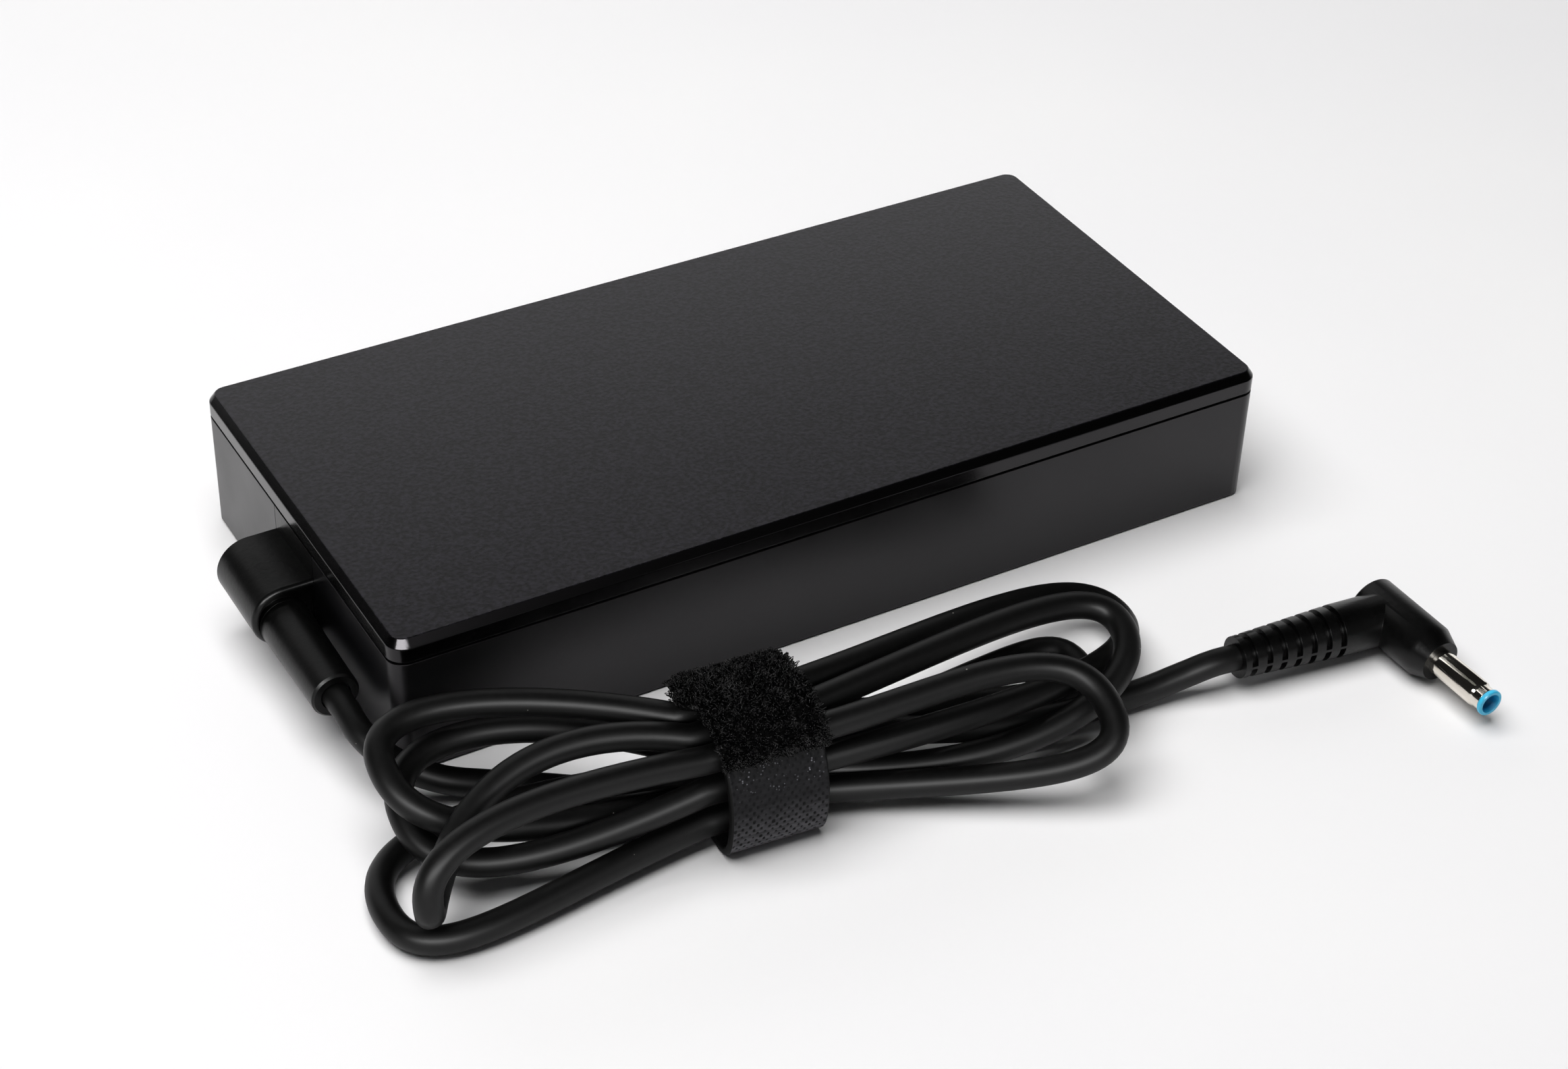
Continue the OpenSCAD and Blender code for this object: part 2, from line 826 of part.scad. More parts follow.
// The hank's end loops, in the order in which the cord runs through them.
// Each: side (1 right, -1 left), the pass that it leaves, the pass that it
// enters, its tip, the heading and slope at the tip, the pull of the curve
// before and after the tip, the pull at the strap, the fan angle at the strap
// and the rise at the strap.
end_loops = [
    [1, [0, 0], [0, 1], [25.5, -66, 2.5], -92, 0, [10, 10], [36, 34], [5, -5], [-0.03, -0.2]],
    [-1, [0, 1], [2, 1], [-86.5, -55, 8.5], -95, -0.45, [14, 11], [25, 32], [46, 1], [0, -0.22]],
    [1, [2, 1], [0, 2], [36.5, -61.5, 5], 88, 0, [11, 15], [42, 28], [-5, 9], [0.05, -0.08]],
    [-1, [0, 2], [1, 0], [-88, -52, 15.6], -93, -0.36, [14, 13], [20, 28], [39, 4], [0, 0.04]],
    [1, [1, 0], [1, 2], [29.4, -71.5, 12.4], 86, 0.25, [12, 11], [36, 32], [-22, 9], [-0.09, 0]],
    [-1, [1, 2], [2, 2], [-91.6, -75.6, 9.6], 90, 6, [10, 10], [40, 30], [20, 2], [0.2, 0.1]],
    [1, [2, 2], [2, 0], [16.2, -87.5, 12.4], -95, -0.45, [15, 13], [22, 28], [0, -17], [0, 0]],
    [-1, [2, 0], [1, 1], [-94.6, -67, 2.3], 87, 0, [16, 17], [30, 30], [-7, 28], [-0.05, -0.25]]
];
loop_rings = 24;

// Direction in which a loop leaves the strap
function leave(side, fan, rise) = turned(hank_turn + (side > 0 ? 0 : 180) + side * fan, rise);

function loop_points(loop) =
    let (
        side = loop[0], tip = loop[3], pull = loop[6], reach = loop[7], half = loop_rings / 2,
        start = pass_end(loop[1], side), stop = pass_end(loop[2], side),
        way = unit(turned(loop[4], loop[5])),
        out_a = start + reach[0] * leave(side, loop[8][0], loop[9][0]),
        out_b = stop + reach[1] * leave(side, loop[8][1], loop[9][1])
    )
    concat(
        [for (i = [0 : half - 1]) bezier(start, out_a, tip - pull[0] * way, tip, i / half)],
        [for (i = [0 : half]) bezier(tip, tip + pull[1] * way, out_b, stop, i / half)]
    );

hank_start = pass_end(end_loops[0][1], -1);
hank_stop = pass_end(end_loops[len(end_loops) - 1][2], 1);
hank_path = concat([hank_start], [for (loop = end_loops) each loop_points(loop)], [hank_stop]);

// Smooth curve through a route, with a number of steps between its points
function spline(p, steps) =
    let (n = len(p) - 1)
    concat([for (i = [0 : n - 1], k = [0 : steps - 1])
        let (
            t = k / steps, b = p[i], c = p[i + 1],
            a = i > 0 ? p[i - 1] : 2 * b - c,
            d = i < n - 1 ? p[i + 2] : 2 * c - b
        )
        0.5 * (2 * b + t * (c - a) + t * t * (2 * a - 5 * b + 4 * c - d)
               + t * t * t * (3 * b - a - 3 * c + d))], [p[n]]);

// Free stretch from the collar down to the table and into the strap
lead_start = [sleeve_x, sleeve_end_y + collar_seat, sleeve_height];
lead_route = concat(
    [lead_start, lead_start - [0, cord_diameter, 0]],
    [
        [-84.8, -37, 8.9], [-82, -42, 6.6], [-76.4, -46, 4], [-69, -49.6, 2.7],
        [-62, -53.8, 2.4], [-55.5, -58.8, 2.8]
    ],
    [hank_start - cord_diameter * hank_way, hank_start]
);

// Free stretch from the strap to the plug
tail_route = concat(
    [hank_stop, hank_stop + cord_diameter * hank_way],
    [[-17, -71.2, 9], [-6, -73, 6], [6, -74.8, 3.4], [18, -76.4, 2.4], [30, -77.4, 2.6], [37, -78.3, 3.8]],
    [relief_entry - cord_diameter * neck_way, relief_entry]
);

// Direction of a path at one of its points
function heading(p, i) = unit(p[min(i + 1, len(p) - 1)] - p[max(i - 1, 0)]);

// Frames carried along the path, each turned as little as possible
function carried(normal, way) = unit(normal - (normal * way) * way);
function frames(p) = [
    for (i = 0, n = carried([0, 0, 1], heading(p, 0)); i < len(p);
         i = i + 1, n = i < len(p) ? carried(n, heading(p, i)) : n) n
];

// One unbroken tube along a path
module tube(path, radius, sides) {
    count = len(path);
    normals = frames(path);
    points = [
        for (i = [0 : count - 1], k = [0 : sides - 1])
            let (angle = 360 * k / sides, n = normals[i], b = cross(heading(path, i), n))
            path[i] + radius * (cos(angle) * n + sin(angle) * b)
    ];
    skin = [
        for (i = [0 : count - 2], k = [0 : sides - 1])
            let (a = i * sides + k, b = i * sides + (k + 1) % sides)
            each [[a, a + sides, b], [b, a + sides, b + sides]]
    ];
    last = (count - 1) * sides;
    caps = [
        for (k = [1 : sides - 2])
            each [[0, k, k + 1], [last, last + k + 1, last + k]]
    ];
    polyhedron(points, concat(skin, caps), convexity = 20);
}

// Least distance between two segments, from their four points
function clamp01(v) = min(1, max(0, v));
function segment_gap(a, b, c, d) =
    let (
        u = b - a, v = d - c, w = a - c,
        uu = u * u, uv = u * v, vv = v * v, uw = u * w, vw = v * w,
        det = uu * vv - uv * uv,
        s = det > 0.001 ? clamp01((uv * vw - vv * uw) / det) : 0,
        t = clamp01((uv * s + vw) / vv),
        s2 = clamp01((uv * t - uw) / uu)
    )
    norm(w + s2 * u - t * v);

// Least gap between stretches of a path more than a few diameters apart
function running_length(p) = [
    for (i = 0, s = 0; i < len(p); i = i + 1, s = i < len(p) ? s + norm(p[i] - p[i - 1]) : s) s
];
function least_gap(p, apart) =
    let (run = running_length(p), n = len(p) - 2)
    min([for (i = [0 : n], j = [i + 2 : 1 : n]) if (run[j] - run[i + 1] > apart)
        segment_gap(p[i], p[i + 1], p[j], p[j + 1])]) - cord_diameter;

cord_black = [0.07, 0.07, 0.08];

module dc_cord_lead() {
    color(cord_black)
        tube(spline(lead_route, 2), cord_radius, 8);
}

module dc_cord_hank() {
    whole_cord = concat(spline(lead_route, 2), hank_path, spline(tail_route, 2));
    echo(least_gap_of_the_hank = least_gap(hank_path, 3 * cord_diameter),
         lowest_point = min([for (p = hank_path) p[2]]) - cord_radius,
         cord_length = running_length(whole_cord)[len(whole_cord) - 1]);
    color(cord_black)
        tube(hank_path, cord_radius, 6);
}

module dc_cord_tail() {
    color(cord_black)
        tube(spline(tail_route, 2), cord_radius, 8);
}

// ---------------------------------------------------------------- the strap

// Outside of the band, across the hank: forward (negative) and up, from the
// middle of the table side round the front, over the top and down the back
band_route = [
    [0, 0], [-7.6, 0], [-10.8, 1.8], [-12.1, 6], [-12, 11], [-10.7, 15.2],
    [-8.4, 18.4], [-4.8, 20.5], [0, 21.2], [4.8, 20.8], [8.3, 18.8], [9.8, 15],
    [10.1, 10], [9.9, 5], [9.2, 1.6], [6.6, 0]
];
// The pile layer covers the band from this point of the route to that one, and
// its folded end stands out to the left between two others
pile_from = 5.5;
pile_to = 10;
tab_from = 8.25;
tab_to = 9.75;
tab_reach = 4;
route_steps = 4;

function wrap(p, i) = p[(i + len(p)) % len(p)];
function closed_curve(p, steps) = [
    for (i = [0 : len(p) - 1], k = [0 : steps - 1])
        let (
            t = k / steps, a = wrap(p, i - 1), b = p[i], c = wrap(p, i + 1), d = wrap(p, i + 2),
            q = 0.5 * (2 * b + t * (c - a) + t * t * (2 * a - 5 * b + 4 * c - d)
                       + t * t * t * (3 * b - a - 3 * c + d))
        )
        [q[0], max(0, q[1])]
];

band_outside = closed_curve(band_route, route_steps);

// Curve moved sideways, outward for a positive distance
function moved_out(p, distance) = [
    for (i = [0 : len(p) - 1])
        let (way = unit(wrap(p, i + 1) - wrap(p, i - 1)))
        p[i] + distance * [-way[1], way[0]]
];

// Extrudes a section across the hank, from low to high along the hank
module strap_slice(low, high) {
    translate([hank_centre[0], hank_centre[1], 0])
        rotate([0, 0, hank_turn])
            translate([low, 0, 0])
                rotate([90, 0, 90])
                    linear_extrude(high - low)
                        children();
}

module strap_band() {
    color([0.25, 0.25, 0.27])
        strap_slice(-strap_width / 2, strap_width / 2)
            difference() {
                polygon(band_outside);
                polygon(moved_out(band_outside, -band_thick));
            }
}

// Layer on the band's outside between two points of the route
module pile_section(from, to) {
    low = from * route_steps;
    high = to * route_steps;
    inner = moved_out(band_outside, fit / 2);
    outer = moved_out(band_outside, pile_thick);
    polygon(concat([for (i = [low : high]) inner[i]], [for (i = [high : -1 : low]) outer[i]]));
}

module strap_pile() {
    color([0.13, 0.13, 0.14]) {
        strap_slice(-strap_width / 2, strap_width / 2)
            pile_section(pile_from, pile_to);
        strap_slice(-strap_width / 2 - tab_reach, -strap_width / 2 + fit)
            pile_section(tab_from, tab_to);
    }
}

// ----------------------------------------------------------------- the plug

// The plug's own axes: the neck runs back along -X, and the elbow turns off
module at_plug() {
    translate(plug_corner)
        rotate([0, 0, plug_turn])
            children();
}

// Along the elbow: z becomes the barrel's direction
module at_elbow() {
    at_plug()
        rotate([0, 90, plug_bend])
            children();
}

nose_z = elbow_front + nose_length;
barrel_seat = 3;
rim_chamfer = 0.3;
core_growth = 0.12;         // the core's radius grows by this from slot to slot

// Ribbed relief: a taper cut by slots that leave a web at the parting line
module relief() {
    translate([-neck_length - relief_length, 0, 0])
        difference() {
            rotate([0, 90, 0]) {
                cylinder(r1 = relief_end_radius, r2 = neck_radius, h = relief_length);
                translate([0, 0, relief_length])
                    cylinder(r = neck_radius, h = neck_length);
            }
            for (i = [0 : slot_count - 1])
                translate([slot_start + i * slot_pitch, 0, 0])
                    difference() {
                        translate([-slot_width / 2, 0, 0])
                            rotate([0, 90, 0])
                                ring(neck_radius + 1, slot_core_radius + core_growth * i, slot_width);
                        cube([4 * slot_width, 4 * neck_radius, slot_web], center = true);
                    }
        }
}

module plug_moulding() {
    color([0.09, 0.09, 0.1])
        difference() {
            union() {
                at_plug()
                    rotate([0, plug_pitch, 0])
                        relief();
                at_elbow() {
                    translate([0, 0, -elbow_back + rim_chamfer])
                        cylinder(r = elbow_radius, h = elbow_front + elbow_back - rim_chamfer);
                    translate([0, 0, -elbow_back])
                        cylinder(r1 = elbow_radius - rim_chamfer, r2 = elbow_radius, h = rim_chamfer);
                    translate([0, 0, elbow_front])
                        cylinder(r1 = elbow_radius, r2 = nose_radius, h = nose_length);
                }
            }
            // seat of the barrel
            at_elbow()
                translate([0, 0, nose_z - barrel_seat])
                    cylinder(d = shank_diameter + fit, h = barrel_seat + 1);
        }
}

shank_diameter = barrel_diameter - 0.8;     // the barrel's narrower end in the moulding
end_taper = 0.4;        // length of the barrel's rounded shoulder
crimp_diameter = barrel_diameter - 0.5;     // narrower end that holds the ring
crimp_length = 1.5;
crimp_wall = 0.25;
tip_gap = 0.15;         // groove between the crimp and the ring's head
tip_insert = 1.4;       // length of the ring's shank in the crimp
tip_flare = 0.02;       // the ring's head stands out beyond the barrel
tip_round = 0.15;
tip_funnel = 0.25;      // width of the funnel at the ring's mouth
tip_shank_wall = 0.25;

module plug_barrel() {
    shoulder_z = nose_z + barrel_length;
    end_z = shoulder_z + crimp_length;
    color([0.8, 0.8, 0.78])
        at_elbow()
            difference() {
                union() {
                    translate([0, 0, nose_z - barrel_seat])
                        cylinder(d = shank_diameter, h = barrel_seat + eps);
                    translate([0, 0, nose_z])
                        cylinder(d = barrel_diameter, h = barrel_length - end_taper);
                    translate([0, 0, shoulder_z - end_taper])
                        cylinder(d1 = barrel_diameter, d2 = crimp_diameter, h = end_taper);
                    translate([0, 0, shoulder_z - eps])
                        cylinder(d = crimp_diameter, h = crimp_length + eps);
                }
                translate([0, 0, nose_z - barrel_seat + 1])
                    cylinder(d = barrel_bore, h = barrel_length + barrel_seat);
                translate([0, 0, end_z - tip_insert])
                    cylinder(d = crimp_diameter - 2 * crimp_wall, h = tip_insert + 1);
                translate([0, 0, nose_z - barrel_seat - 1])
                    cylinder(d = centre_pin_diameter + fit, h = 3);
            }
}

// Insulating ring: a shank inside the crimp and a round-edged head with a funnel
module plug_tip_ring() {
    end_z = nose_z + barrel_length + crimp_length;
    head = barrel_diameter / 2 + tip_flare;
    shank = crimp_diameter / 2 - crimp_wall - fit / 2;
    bore = shank - tip_shank_wall;
    neck = tip_insert + tip_gap - fit;
    face = neck + tip_length;
    color([0.25, 0.65, 0.85])
        at_elbow()
            translate([0, 0, end_z - tip_insert + fit])
                rotate_extrude()
                    polygon([
                        [bore, 0], [shank, 0], [shank, neck],
                        [head - tip_round, neck], [head, neck + tip_round],
                        [head, face - tip_round], [head - tip_round, face],
                        [bore + tip_funnel, face], [bore, face - tip_length]
                    ]);
}

pin_reach = 0.4;        // the centre pin ends this far beyond the barrel's shoulder

module plug_centre_pin() {
    start = nose_z - barrel_seat;
    length = barrel_seat + barrel_length + pin_reach;
    color([0.75, 0.75, 0.72])
        at_elbow()
            translate([0, 0, start]) {
                cylinder(d = centre_pin_diameter, h = length - centre_pin_diameter / 2);
                translate([0, 0, length - centre_pin_diameter / 2])
                    sphere(d = centre_pin_diameter, $fn = 32);
            }
}

lower_housing();
top_cover();
inlet_body();
inlet_pins();
inlet_wires();
insulating_sheet();
main_board();
fuse();
filter_capacitor();
filter_choke_cores();
filter_choke_windings();
bridge_rectifier();
primary_heat_sink();
power_transistors();
inductor_core();
inductor_winding();
bulk_capacitors();
transformer_core();
transformer_winding();
output_capacitors();
output_choke();
control_chips();
heat_spreader();
thermal_pads();
output_wires();
elbow_strain_relief();
dc_cord_lead();
dc_cord_hank();
dc_cord_tail();
strap_band();
strap_pile();
plug_moulding();
plug_barrel();
plug_tip_ring();
plug_centre_pin();
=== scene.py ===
"""Laptop power adapter: pieces, finishes, light and camera.

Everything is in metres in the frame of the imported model: the housing stands on
z = 0, the cord leaves it at -X and the mains inlet is at +X. Sizes are written
in millimetres and multiplied by MM, and angles are in degrees.
"""

import math

import bmesh
import bpy
import numpy as np
from mathutils import Matrix, Vector


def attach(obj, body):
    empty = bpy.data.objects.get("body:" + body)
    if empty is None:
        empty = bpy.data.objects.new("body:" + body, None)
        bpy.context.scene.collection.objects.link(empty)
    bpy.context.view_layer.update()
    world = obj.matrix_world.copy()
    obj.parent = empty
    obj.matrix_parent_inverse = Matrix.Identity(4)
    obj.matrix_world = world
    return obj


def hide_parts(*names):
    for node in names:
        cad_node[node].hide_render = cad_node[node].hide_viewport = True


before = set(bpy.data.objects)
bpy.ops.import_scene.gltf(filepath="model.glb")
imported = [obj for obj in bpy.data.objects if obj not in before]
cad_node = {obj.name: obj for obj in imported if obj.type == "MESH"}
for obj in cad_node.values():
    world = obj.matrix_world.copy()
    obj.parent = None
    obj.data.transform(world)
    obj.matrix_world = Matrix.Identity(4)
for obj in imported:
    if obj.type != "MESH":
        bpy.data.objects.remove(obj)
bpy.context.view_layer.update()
scene = bpy.context.scene

MM = 0.001


# ------------------------------------------------------------------- camera

AZIMUTH, ELEVATION, ROLL = -30.926, 36.731, 1.959
AIM = (2.65, -11.983, 0)          # what the camera looks at, on the table
AIM_DISTANCE = 504.874
IMAGE_WIDTH = 2324                # pixels
FOCAL_LENGTH = 4394.86            # in the same pixels
SENSOR_WIDTH = 36


def heading_frame(azimuth, elevation, roll):
    """Right, up and back of a camera.

    back = (sin a cos e, -cos a cos e, sin e), right = (cos a, sin a, 0) and
    up = back x right, and then right and up are rolled about back.
    """
    a, e, r = (math.radians(v) for v in (azimuth, elevation, roll))
    back = Vector((math.sin(a) * math.cos(e), -math.cos(a) * math.cos(e), math.sin(e)))
    level = Vector((math.cos(a), math.sin(a), 0))
    rise = back.cross(level)
    right = math.cos(r) * level + math.sin(r) * rise
    up = -math.sin(r) * level + math.cos(r) * rise
    return right, up, back


def place_camera():
    """A long lens, AIM_DISTANCE from a point under the housing."""
    right, up, back = heading_frame(AZIMUTH, ELEVATION, ROLL)
    data = bpy.data.cameras.new("camera")
    data.sensor_width = SENSOR_WIDTH
    data.lens = FOCAL_LENGTH / IMAGE_WIDTH * SENSOR_WIDTH
    data.clip_start = 0.01
    data.clip_end = 20
    camera = bpy.data.objects.new("camera", data)
    scene.collection.objects.link(camera)
    eye = Vector(AIM) * MM + back * AIM_DISTANCE * MM
    turn = Matrix((right, up, back)).transposed()
    camera.matrix_world = Matrix.Translation(eye) @ turn.to_4x4()
    scene.camera = camera


place_camera()


# ------------------------------------------------------------ shape helpers

def unit(v):
    """Vectors along the last axis, scaled to length 1."""
    return v / np.linalg.norm(v, axis=-1, keepdims=True)


def between(p, steps):
    """Smooth curve through all of p but its two outer points.

    From b to c, with a before them and d after them, it runs along
    0.5 (2b + t (c - a) + t2 (2a - 5b + 4c - d) + t3 (3b - a - 3c + d)).
    """
    a, b, c, d = p[:-3], p[1:-2], p[2:-1], p[3:]
    t = (np.arange(steps) / steps)[:, None, None]
    twice = 2 * b + t * (c - a) + t**2 * (2 * a - 5 * b + 4 * c - d) + t**3 * (3 * b - a - 3 * c + d)
    return 0.5 * twice.transpose(1, 0, 2).reshape(-1, p.shape[1])


def spline(points, steps):
    """Smooth open curve through points."""
    points = np.asarray(points, float)
    outer = np.vstack([2 * points[0] - points[1], points, 2 * points[-1] - points[-2]])
    return np.vstack([between(outer, steps), points[-1:]])


def closed_spline(points, steps):
    """Smooth closed curve through points, whose last point is the step before the first."""
    points = np.asarray(points, float)
    return between(np.vstack([points[-1:], points, points[:2]]), steps)


def smooth(value, low, high):
    """0 below low and 1 above high, with t2 (3 - 2 t) between them."""
    t = np.clip((np.asarray(value, float) - low) / (high - low), 0, 1)
    return t * t * (3 - 2 * t)


def bezier(a, b, c, d, steps):
    """Points from a towards d, d left out: (1-t)3 a + 3t(1-t)2 b + 3t2(1-t) c + t3 d."""
    t = (np.arange(steps) / steps)[:, None]
    return (1 - t) ** 3 * a + 3 * t * (1 - t) ** 2 * b + 3 * t**2 * (1 - t) * c + t**3 * d


def run_length(path):
    """Length from the start to each point of a path."""
    return np.concatenate([[0], np.cumsum(np.linalg.norm(np.diff(path, axis=0), axis=1))])


def even(path, spacing):
    """The same path with points at an even spacing."""
    run = run_length(path)
    at = np.linspace(0, run[-1], max(2, int(round(run[-1] / spacing)) + 1))
    return np.stack([np.interp(at, run, path[:, k]) for k in range(path.shape[1])], axis=1)


def carried_normals(path):
    """A normal at each point of a path: the one before it, less its share along the path, at length 1."""
    way = unit(np.gradient(path, axis=0))
    normals = np.empty_like(path)
    n = np.array([0.0, 0.0, 1.0])
    for i, w in enumerate(way):
        n = n - n.dot(w) * w
        n /= np.linalg.norm(n)
        normals[i] = n
    return way, normals


def swept(path, radius, sides):
    """Rings round a path: at angle k a ring's point is path[i] + radius (cos k n_i + sin k b_i)."""
    way, normals = carried_normals(path)
    binormals = np.cross(way, normals)
    angle = (2 * np.pi * np.arange(sides) / sides)[:, None]
    ring = np.cos(angle) * normals[:, None] + np.sin(angle) * binormals[:, None]
    return path[:, None] + radius * ring


def capped(points, first, last):
    """Grid with one more row at each end, whose points all lie at the pole there."""
    columns = points.shape[1]
    return np.concatenate([np.tile(first, (1, columns, 1)), points, np.tile(last, (1, columns, 1))])


def added(name, mesh, finish, weld=0.0, flat=None):
    """Puts a mesh into the scene as a smooth piece that rides with the part.

    Points within weld millimetres merge, which closes poles and seams, and
    edges sharper than flat degrees stay sharp.
    """
    if weld:
        work = bmesh.new()
        work.from_mesh(mesh)
        bmesh.ops.remove_doubles(work, verts=work.verts, dist=weld * MM)
        bmesh.ops.recalc_face_normals(work, faces=work.faces)
        work.to_mesh(mesh)
        work.free()
    mesh.shade_smooth()
    if flat is not None:
        mesh.set_sharp_from_angle(angle=math.radians(flat))
    mesh.materials.append(finish)
    obj = bpy.data.objects.new(name, mesh)
    scene.collection.objects.link(obj)
    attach(obj, "root")
    return obj


def piece(name, points, finish, closed_rows=False, closed_columns=False, uv=None, weld=0.0, flat=None):
    """Surface on a grid of points [rows, columns, xyz] in millimetres.

    Point (i, j) joins (i + 1, j) and (i, j + 1), and a closed direction joins
    its end to its start. uv gives u for each row and v for each column in
    metres, and one more where that direction is closed.
    """
    rows, columns = points.shape[:2]
    verts = points.reshape(-1, 3) * MM
    i = np.arange(rows if closed_rows else rows - 1)
    j = np.arange(columns if closed_columns else columns - 1)
    i, j = (g.ravel() for g in np.meshgrid(i, j, indexing="ij"))
    i2, j2 = i + 1, j + 1
    quads = np.stack([
        i * columns + j,
        (i2 % rows) * columns + j,
        (i2 % rows) * columns + j2 % columns,
        i * columns + j2 % columns,
    ], axis=1)
    mesh = bpy.data.meshes.new(name)
    mesh.from_pydata(verts.tolist(), [], quads.tolist())
    if uv is not None:
        u, v = uv
        corners = np.stack([
            np.stack([u[i], v[j]], 1), np.stack([u[i2], v[j]], 1),
            np.stack([u[i2], v[j2]], 1), np.stack([u[i], v[j2]], 1),
        ], axis=1)
        layer = mesh.uv_layers.new(name="UVMap")
        layer.data.foreach_set("uv", corners.reshape(-1).astype(np.float32))
    return added(name, mesh, finish, weld, flat)


MERGE_WITHIN = 0.001      # millimetres, for the loose triangles of a CAD node
FLAT_WITHIN = 0.5         # faces that meet at less than this are one flat face
SHARP_FROM = 32           # edges sharper than this are rounded
EDGE_SEGMENTS = 2


def eased(node, name, finish, width):
    """Copy of a CAD node with its triangles merged and its sharp edges rounded over width millimetres."""
    source = cad_node[node].data
    verts = np.empty(len(source.vertices) * 3, np.float32)
    source.vertices.foreach_get("co", verts)
    faces = np.empty(len(source.loops), np.int32)
    source.loops.foreach_get("vertex_index", faces)
    mesh = bpy.data.meshes.new(name)
    mesh.from_pydata(verts.reshape(-1, 3).tolist(), [], faces.reshape(-1, 3).tolist())
    work = bmesh.new()
    work.from_mesh(mesh)
    bmesh.ops.remove_doubles(work, verts=work.verts, dist=MERGE_WITHIN * MM)
    bmesh.ops.dissolve_limit(work, angle_limit=math.radians(FLAT_WITHIN), verts=work.verts, edges=work.edges)
    work.to_mesh(mesh)
    work.free()
    obj = added(name, mesh, finish, flat=SHARP_FROM)
    round_over = obj.modifiers.new("edge_radius", "BEVEL")
    round_over.width = width * MM
    round_over.segments = EDGE_SEGMENTS
    round_over.limit_method = "ANGLE"
    round_over.angle_limit = math.radians(SHARP_FROM)
    round_over.harden_normals = True
    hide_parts(node)
    return obj


# ------------------------------------- sizes that pieces and finishes share

HOUSING_TOP = 25.4

STRAP_WIDTH = 16
TAPE_ROUND = 0.3                            # radius of the woven tape's edges
FACE_HALF = STRAP_WIDTH / 2 - TAPE_ROUND    # half the width of the tape's flat face
DOT_ALONG, DOT_ACROSS = 0.85, 0.62          # half the spacing of the weave's dots

# The barrel's axis: x + BARREL_SLANT y, and z
BARREL_SLANT = 0.01396
BARREL_AXIS = (74.35, 4.75)


# ----------------------------------------------------------------- finishes

PLAIN = (1, 1, 1, 1)
COOL = (0.99, 0.95, 1.0, 1.0)     # tint of the case's gloss, a trace violet

# Nearly all of a noise lies between these
NOISE_LOW, NOISE_HIGH = 0.3, 0.7


def linear(hex_colour):
    """sRGB hex, such as '1a1b1d', as linear red, green, blue and alpha."""
    srgb = np.array([int(hex_colour[k:k + 2], 16) for k in (0, 2, 4)]) / 255
    rgb = np.where(srgb <= 0.04045, srgb / 12.92, ((srgb + 0.055) / 1.055) ** 2.4)
    return (*rgb.tolist(), 1.0)


def feed(tree, node, inputs):
    """Gives a node its inputs, by name or number: nodes and sockets are linked, and values are set.

    Map Range numbers its inputs value, from low, from high, to low, to high. Mix
    numbers its factor 0, two numbers 2 and 3, and two colours 6 and 7.
    """
    for name, value in inputs.items():
        if isinstance(value, bpy.types.Node):
            value = next(socket for socket in value.outputs if socket.enabled)
        if isinstance(value, bpy.types.NodeSocket):
            tree.links.new(value, node.inputs[name])
        else:
            node.inputs[name].default_value = value


def add(tree, kind, inputs=None, **settings):
    """Adds one node with its settings, and feeds its inputs."""
    node = tree.nodes.new(kind)
    for name, value in settings.items():
        setattr(node, name, value)
    feed(tree, node, inputs or {})
    return node


def new_finish(name, **values):
    """A material with one Principled shader, whose plain values are set by input name."""
    material = bpy.data.materials.new(name)
    material.use_nodes = True
    tree = material.node_tree
    shader = tree.nodes["Principled BSDF"]
    feed(tree, shader, {key.replace("_", " "): value for key, value in values.items()})
    return material, tree, shader


def grain(tree, size_mm, detail=2.0, where="Object", stretch=(1, 1, 1)):
    """Noise whose grains are about size_mm across, on Object coordinates or the piece's UV in metres."""
    place = add(tree, "ShaderNodeTexCoord")
    stretched = add(tree, "ShaderNodeMapping", {"Vector": place.outputs[where], "Scale": stretch})
    scale = 1 / (2 * size_mm * MM)
    return add(tree, "ShaderNodeTexNoise", {"Vector": stretched, "Scale": scale, "Detail": detail})


def blend_colours(tree, pattern, low, high, low_at=NOISE_LOW, high_at=NOISE_HIGH):
    """Colour that goes from low to high as a pattern goes from low_at to high_at."""
    share = add(tree, "ShaderNodeMapRange", {0: pattern, 1: low_at, 2: high_at})
    return add(tree, "ShaderNodeMix", {0: share, 6: linear(low), 7: linear(high)}, data_type="RGBA")


def speck_mask(tree, spacing_mm, radius, where="Object"):
    """1 on small specks, one in each spacing_mm or so, and 0 elsewhere; radius is a share of the spacing."""
    place = add(tree, "ShaderNodeTexCoord")
    scale = 1 / (spacing_mm * MM)
    cells = add(tree, "ShaderNodeTexVoronoi", {"Vector": place.outputs[where], "Scale": scale})
    return add(tree, "ShaderNodeMapRange", {0: cells, 1: radius, 2: 0.6 * radius})


